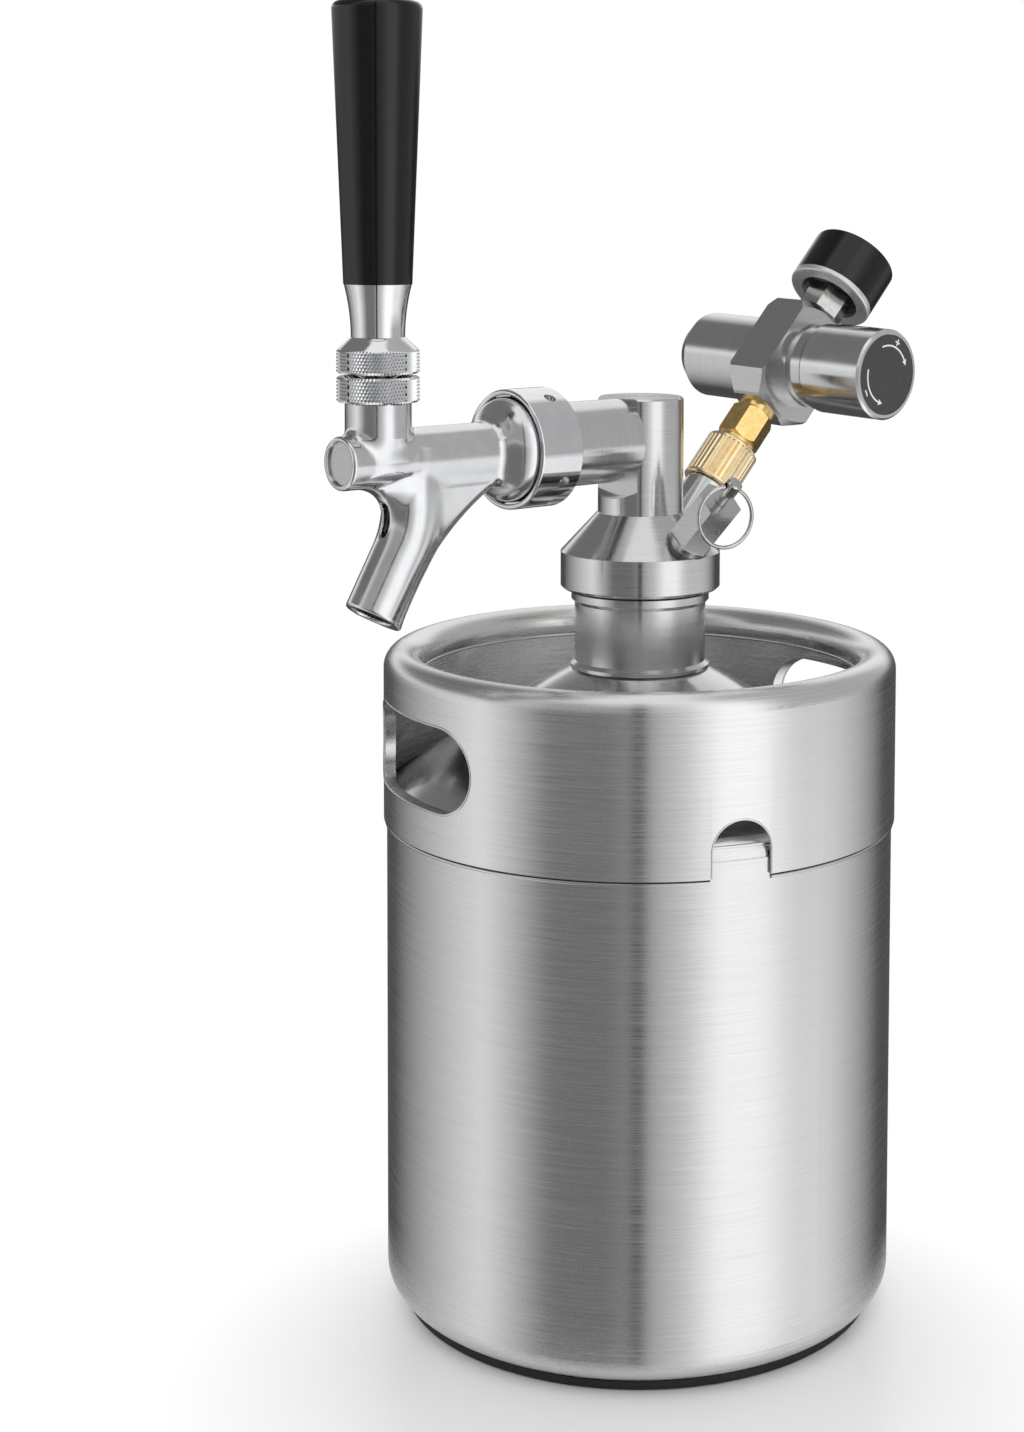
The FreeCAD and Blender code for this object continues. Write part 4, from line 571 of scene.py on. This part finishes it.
knurled_ring("bonnet_knurled", BONNET_OUTLINE, "tap", "bonnet")
knurled_ring("lever_collar_knurled", LEVER_COLLAR_OUTLINE, "lever", "lever_collar")


# ---------------------------------------------------------------- seam, its painted shade line, and hems of the collar

COLLAR_FACE, COLLAR_FOOT = 82.5, 155.2
# Azimuth from -Y toward +X, width and height of each opening, and the hand hole's middle.
HAND_HOLE = (-14, 68.0, 26.0, 181.3)
DRAIN_NOTCH = (69.6, 18.8, 17.0)
# How far a hem lies outside its opening, and its radius. All lie this deep in the wall.
HAND_HEM, DRAIN_HEM = (0.3, 0.45), (0.2, 0.35)
HEM_DEPTH = 0.2
# The wall's radius, the height of a bead and the bead's radius.
RIM_CURL = (71.5, 200.2, 0.55)
DOME_WELD = (80.0, 163.9, 0.5)
# The wall's radius, how far under the collar's foot the bead lies, and the bead's radius. The
# second,
# a black ring, is painted shade: a dark line where the gap under the collar's foot lies in
# shadow.
SEAM_BEAD = (81.55, 1.05, 0.6)
SEAM_SHADE_LINE = (81.9, 0.15, 0.35)
# The drain notch's hem stops over the foot, and the seam stops beside the notch.
NOTCH_FOOT, NOTCH_SIDE = 0.3, 0.5


def on_wall(azimuth, across, height, radius):
    """A point on a round wall, so far across from an azimuth in degrees from -Y toward +X."""
    turn = math.radians(azimuth)
    out = math.sqrt(radius * radius - across * across)
    return (across * math.cos(turn) + out * math.sin(turn),
            across * math.sin(turn) - out * math.cos(turn), height)


def bead(name, path, radius, closed, slot="brushed_steel", sides=12):
    """A thin round bead along points on the keg's wall."""
    path = np.array(path)
    ahead, back = np.roll(path, -1, axis=0), np.roll(path, 1, axis=0)
    if not closed:
        ahead[-1], back[0] = path[-1], path[0]
    along = ahead - back
    along /= np.linalg.norm(along, axis=1, keepdims=True)
    out = path * (1, 1, 0)
    out /= np.linalg.norm(out, axis=1, keepdims=True)
    side = np.cross(along, out)
    turns = np.arange(sides) * math.tau / sides
    points = (path[:, None] + radius * (out[:, None] * np.cos(turns)[None, :, None]
                                        + side[:, None] * np.sin(turns)[None, :, None]))
    count = len(path)
    faces = []
    for row in range(count if closed else count - 1):
        here, after = row * sides, (row + 1) % count * sides
        faces += [(here + i, here + (i + 1) % sides, after + (i + 1) % sides, after + i)
                  for i in range(sides)]
    if not closed:
        faces.append(tuple(range(sides))[::-1])
        faces.append(tuple((count - 1) * sides + i for i in range(sides)))
    return make_piece(name, points.reshape(-1, 3), faces, "keg", slot)


def hand_hole_outline(end_steps=24, flat_steps=12):
    """Points across and at a height, all round a hand hole: two round ends and two flats."""
    _, width, height, middle = HAND_HOLE
    flat = (width - height) / 2
    reach = height / 2 + HAND_HEM[0]
    points = []
    for way in (1, -1):
        for i in range(end_steps + 1):
            turn = math.radians(-90 + 180 * i / end_steps)
            points.append((way * (flat + reach * math.cos(turn)),
                           middle + way * reach * math.sin(turn)))
        points += [(way * flat * (1 - 2 * i / flat_steps), middle + way * reach)
                   for i in range(1, flat_steps)]
    return points


def drain_notch_outline():
    """Points across and at a height: up one side of a drain notch, over its arch and down."""
    _, width, height = DRAIN_NOTCH
    reach = width / 2 + DRAIN_HEM[0]
    spring = COLLAR_FOOT + height - width / 2
    foot = COLLAR_FOOT + NOTCH_FOOT
    turns = [math.radians(turn) for turn in range(0, 180, 8)]
    arch = [(reach * math.cos(turn), spring + reach * math.sin(turn)) for turn in turns]
    return [(reach, foot)] + arch + [(-reach, foot)]


for name, (wall, height, radius) in (("rim_curl_edge", RIM_CURL), ("dome_weld", DOME_WELD)):
    bead(name, [on_wall(4 * i, 0, height, wall) for i in range(90)], radius, True)
half_notch = math.degrees(math.asin((DRAIN_NOTCH[1] / 2 + NOTCH_SIDE) / COLLAR_FACE))
for side, half_turn in (("front", 0), ("back", 180)):
    for name, opening, outline, hem, closed in (
            ("hand_hole_hem_", HAND_HOLE, hand_hole_outline(), HAND_HEM, True),
            ("drain_notch_hem_", DRAIN_NOTCH, drain_notch_outline(), DRAIN_HEM, False)):
        bead(name + side,
             [on_wall(opening[0] + half_turn, across, height, COLLAR_FACE - HEM_DEPTH)
              for across, height in outline], hem[1], closed)
    first = DRAIN_NOTCH[0] + half_turn + half_notch
    turns = [first + (180 - 2 * half_notch) * i / 90 for i in range(91)]
    # The black ring under the seam bead is painted shade, a dark line for the shadow in the gap.
    for name, (wall, under, radius), slot, sides in (
            ("seam_bead_", SEAM_BEAD, "brushed_steel", 12),
            ("seam_shade_line_", SEAM_SHADE_LINE, "black_rubber", 8)):
        bead(name + side, [on_wall(turn, 0, COLLAR_FOOT - under, wall) for turn in turns],
             radius, False, slot, sides)


# ---------------------------------------------------------------- marks on the dials

# The knob's dial faces along the regulator's X, and its marks are drawn as seen from there.
KNOB_DIAL = REGULATOR @ Matrix.Translation((44.0, 0, 0)) @ Matrix((
    (0, 0, 1, 0), (1, 0, 0, 0), (0, 1, 0, 0), (0, 0, 0, 1)))
GAUGE_DIAL = REGULATOR @ Matrix.Translation((0, 0, 44.5))
KNOB_MARK_HEIGHT, TICK_HEIGHT = 0.15, 0.04
ARROW_RADIUS, ARROW_WIDTH, ARROW_HEAD = 9.6, 0.55, 1.8
SIGN_RADIUS, SIGN_LENGTH, SIGN_WIDTH = 11.4, 2.2, 0.5
PLUS_PLACE, MINUS_PLACE = 108, 252
SCALE_START, SCALE_SWEEP, SCALE_END = 225, 270, 60
TICK_REACH = 12.6
# Length and width.
LONG_TICK, SHORT_TICK = (2.0, 0.32), (1.1, 0.18)
NUMBER_RADIUS, NUMBER_SIZE, NUMBER_HEIGHT = 8.6, 2.9, 0.02


def plate(corners, height):
    """A thin raised plate of any flat outline, open below: its points and faces."""
    count = len(corners)
    points = [(x, y, 0) for x, y in corners] + [(x, y, height) for x, y in corners]
    faces = [tuple(range(count, 2 * count))]
    faces += [(i, (i + 1) % count, (i + 1) % count + count, i + count) for i in range(count)]
    return points, faces


def polar(radius, degrees):
    return (radius * math.cos(math.radians(degrees)), radius * math.sin(math.radians(degrees)))


def bar(radius, place, length, width, degrees):
    """A straight bar at an angle, about a point given by radius and place in degrees."""
    x, y = polar(radius, place)
    along, across = polar(length / 2, degrees), polar(width / 2, degrees + 90)
    return [(x + i * along[0] + j * across[0], y + i * along[1] + j * across[1])
            for i, j in ((-1, -1), (1, -1), (1, 1), (-1, 1))]


def curved_arrow(start, end, count=24):
    """An arc with an arrow head at its end."""
    turns = [start + (end - start) * i / count for i in range(count + 1)]
    way = math.copysign(1, end - start)
    tip = end + way * math.degrees(ARROW_HEAD / ARROW_RADIUS)
    barb = ARROW_HEAD * 0.55
    outside = [polar(ARROW_RADIUS + ARROW_WIDTH / 2, turn) for turn in turns]
    inside = [polar(ARROW_RADIUS - ARROW_WIDTH / 2, turn) for turn in reversed(turns)]
    head = [polar(ARROW_RADIUS + barb, end), polar(ARROW_RADIUS, tip),
            polar(ARROW_RADIUS - barb, end)]
    corners = outside + head + inside
    return corners if way > 0 else corners[::-1]


def marks(name, outlines, height, place, body, slot):
    """One piece of raised plates on a dial."""
    points, faces = [], []
    for corners in outlines:
        some, sides = plate(corners, height)
        faces += [tuple(len(points) + i for i in side) for side in sides]
        points += [tuple(place @ Vector(point)) for point in some]
    return make_piece(name, points, faces, body, slot)


def scale_turn(pressure):
    """Where on the gauge's dial a pressure stands, in degrees."""
    return SCALE_START - SCALE_SWEEP * pressure / SCALE_END


marks("knob_marks", [curved_arrow(150, 70), curved_arrow(210, 290)] + [
    bar(SIGN_RADIUS, place, SIGN_LENGTH, SIGN_WIDTH, degrees)
    for place, degrees in ((PLUS_PLACE, PLUS_PLACE - 90), (PLUS_PLACE, PLUS_PLACE),
                           (MINUS_PLACE, MINUS_PLACE + 90))
], KNOB_MARK_HEIGHT, KNOB_DIAL, "knob", "dial_paint")

ticks = []
for pressure in range(0, SCALE_END + 1, 2):
    turn = scale_turn(pressure)
    length, width = SHORT_TICK if pressure % 10 else LONG_TICK
    ticks.append(bar(TICK_REACH - length / 2, turn, length, width, turn))
marks("gauge_ticks", ticks, TICK_HEIGHT, GAUGE_DIAL, "tap", "needle_paint")

for pressure in range(0, SCALE_END + 1, 10):
    letters = bpy.data.curves.new(f"gauge_number_{pressure}", "FONT")
    letters.body = str(pressure)
    letters.size = NUMBER_SIZE * MM
    letters.extrude = NUMBER_HEIGHT * MM
    letters.align_x = "CENTER"
    letters.align_y = "CENTER"
    letters.materials.append(FINISHES["needle_paint"])
    number_piece = bpy.data.objects.new(letters.name, letters)
    bpy.context.scene.collection.objects.link(number_piece)
    spot = GAUGE_DIAL @ Vector((*polar(NUMBER_RADIUS, scale_turn(pressure)), NUMBER_HEIGHT))
    number_piece.matrix_world = (Matrix.Translation(spot * MM)
                                 @ REGULATOR.to_3x3().to_4x4())
    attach(number_piece, "tap")


# ---------------------------------------------------------------- camera

# In metres and radians.
CAMERA_PLACE = (0.5632, -0.5071, 0.35323)
CAMERA_TURN = math.radians(48)
CAMERA_DIP = math.radians(90 - 3.706)
CAMERA_ROLL = 0.0044

lens = bpy.data.cameras.new("camera")
lens.sensor_fit = "VERTICAL"
lens.sensor_height = 36
lens.lens = 59.47
lens.shift_x = -0.0902
lens.shift_y = -0.254
lens.clip_start = 0.01
camera = bpy.data.objects.new("camera", lens)
camera.matrix_world = (
    Matrix.Translation(CAMERA_PLACE)
    @ Matrix.Rotation(CAMERA_TURN, 4, "Z")
    @ Matrix.Rotation(CAMERA_DIP, 4, "X")
    @ Matrix.Rotation(CAMERA_ROLL, 4, "Z"))
bpy.context.scene.collection.objects.link(camera)
bpy.context.scene.camera = camera


# ---------------------------------------------------------------- studio

# A white room. Cards hung round the object, which only the metal mirrors, give the dark
# bands, and one strip of light the brightest. The four angles, in degrees from -Y toward +X,
# are where each begins, is whole, is whole until, and ends. Then come its foot and head in
# degrees over the horizon, and how much it hides or adds.
DARK_CARDS = (
    (-24, 8, 36, 84, -90, 14, 0.80),
    (-24, 8, 36, 84, 14, 52, 0.60),
    (138, 184, 266, 336, -90, 8, 0.92),
    (44.0, 45.5, 50.5, 52.0, -60, 60, 0.97),
    (100, 112, 190, 206, -9, 75, 0.50),
    (-130, -105, -20, -8, 18, 75, 0.80),
)
BRIGHT_STRIP = (68, 84, 104, 122, -90, 50, 0.30)
SOFT_EDGE = 4
# From here on in metres. The keg's shadow falls about a point of the floor, and fades out
# between two distances from it. The metal mirrors the paper only as far as between two others.
CARDS_REACH, CARDS_HEIGHT = 3.0, 0.2
FLOOR_SIZE, FLOOR_DROP = 6, -0.0004
SHADOW_MIDDLE, SHADOW_FADE = (0.05, -0.045, 0), (0.07, 0.14)
MIRRORED_PAPER = (0.082, 0.105)


def panel(tree, azimuth, height, begin, whole, until, end, low, high, strength):
    """Strength across one card, fading at its sides and over its soft edge up and down."""
    middle = math.radians(end + begin) / 2
    turn = add(tree, "Math", {0: azimuth, 1: middle + math.pi, 2: middle - math.pi},
               operation="WRAP")
    for value, start, full in (
            (turn, math.radians(begin), math.radians(whole)),
            (turn, math.radians(end), math.radians(until)),
            (height, low - SOFT_EDGE, low + SOFT_EDGE),
            (height, high + SOFT_EDGE, high - SOFT_EDGE)):
        fade = add(tree, "MapRange", {"Value": value, "From Min": start, "From Max": full})
        strength = add(tree, "Math", {0: strength, 1: fade}, operation="MULTIPLY")
    return strength


def card_material():
    """Black cards and a strip of light on a clear sphere round the object."""
    material, tree = new_material("card_black_and_light_strip")
    spot = add(tree, "VectorMath", {0: add(tree, "TexCoord").outputs["Object"]},
               operation="NORMALIZE")
    spot = add(tree, "SeparateXYZ", {0: spot}).outputs
    toward = add(tree, "Math", {0: spot["Y"], 1: -1.0}, operation="MULTIPLY")
    azimuth = add(tree, "Math", {0: spot["X"], 1: toward}, operation="ARCTAN2")
    height = add(tree, "Math", {0: spot["Z"]}, operation="ARCSINE")
    height = add(tree, "Math", {0: height}, operation="DEGREES")
    hidden = 0.0
    for dark_card in DARK_CARDS:
        hidden = add(tree, "Math", {0: hidden, 1: panel(tree, azimuth, height, *dark_card)},
                     operation="MAXIMUM")
    black = add(tree, "MixShader", {
        0: hidden,
        1: add(tree, "BsdfTransparent"),
        2: add(tree, "Emission", {"Color": linear("#000000")})})
    strip = add(tree, "Emission", {"Strength": panel(tree, azimuth, height, *BRIGHT_STRIP)})
    add(tree, "OutputMaterial", {"Surface": add(tree, "AddShader", {0: black, 1: strip})})
    return material


def paper_material():
    """White satin paper that holds the keg's shadow and is pure white beyond it."""
    material, tree = new_material("paper_white_satin")
    rays = add(tree, "LightPath").outputs
    spot = add(tree, "TexCoord").outputs["Object"]
    reach = add(tree, "VectorMath", {0: spot}, operation="LENGTH")
    from_shadow = add(tree, "VectorMath", {0: spot, 1: SHADOW_MIDDLE}, operation="DISTANCE")
    far, past = [
        add(tree, "MapRange", {
            "Value": value.outputs["Value"], "From Min": start, "From Max": full})
        for value, (start, full) in ((from_shadow, SHADOW_FADE), (reach, MIRRORED_PAPER))]
    shown = add(tree, "Math", {0: rays["Is Camera Ray"], 1: rays["Is Transmission Ray"]},
                operation="ADD", use_clamp=True)
    sheet = add(tree, "MixShader", {
        0: add(tree, "Math", {0: far, 1: shown}, operation="MULTIPLY"),
        1: add(tree, "BsdfPrincipled", {
            "Base Color": linear("#F7F7F7"), "Roughness": 0.35, "Specular IOR Level": 0.3}),
        2: add(tree, "Emission", {"Color": (1, 1, 1, 1), "Strength": 1.0})})
    # To the metal the paper ends close to the keg, and the white room goes on below it.
    mirrored = add(tree, "MixShader", {
        0: add(tree, "Math", {0: past, 1: rays["Is Glossy Ray"]}, operation="MULTIPLY"),
        1: sheet,
        2: add(tree, "BsdfTransparent")})
    add(tree, "OutputMaterial", {"Surface": mirrored})
    return material


world = bpy.data.worlds.new("white_room")
world.use_nodes = True
world.node_tree.nodes.clear()
room = add(world.node_tree, "Background", {"Color": (1, 1, 1, 1), "Strength": 1.0})
add(world.node_tree, "OutputWorld", {"Surface": room})
bpy.context.scene.world = world

bpy.ops.mesh.primitive_uv_sphere_add(segments=64, ring_count=32, radius=CARDS_REACH,
                                     location=(0, 0, CARDS_HEIGHT))
cards = bpy.context.object
cards.name = "studio_cards"
cards.data.materials.append(card_material())
cards.visible_camera = False
cards.visible_diffuse = False
cards.visible_transmission = False

bpy.ops.mesh.primitive_plane_add(size=FLOOR_SIZE, location=(0, 0, FLOOR_DROP))
floor = bpy.context.object
floor.name = "studio_floor"
floor.data.materials.append(paper_material())

bpy.context.scene.view_settings.view_transform = "Standard"
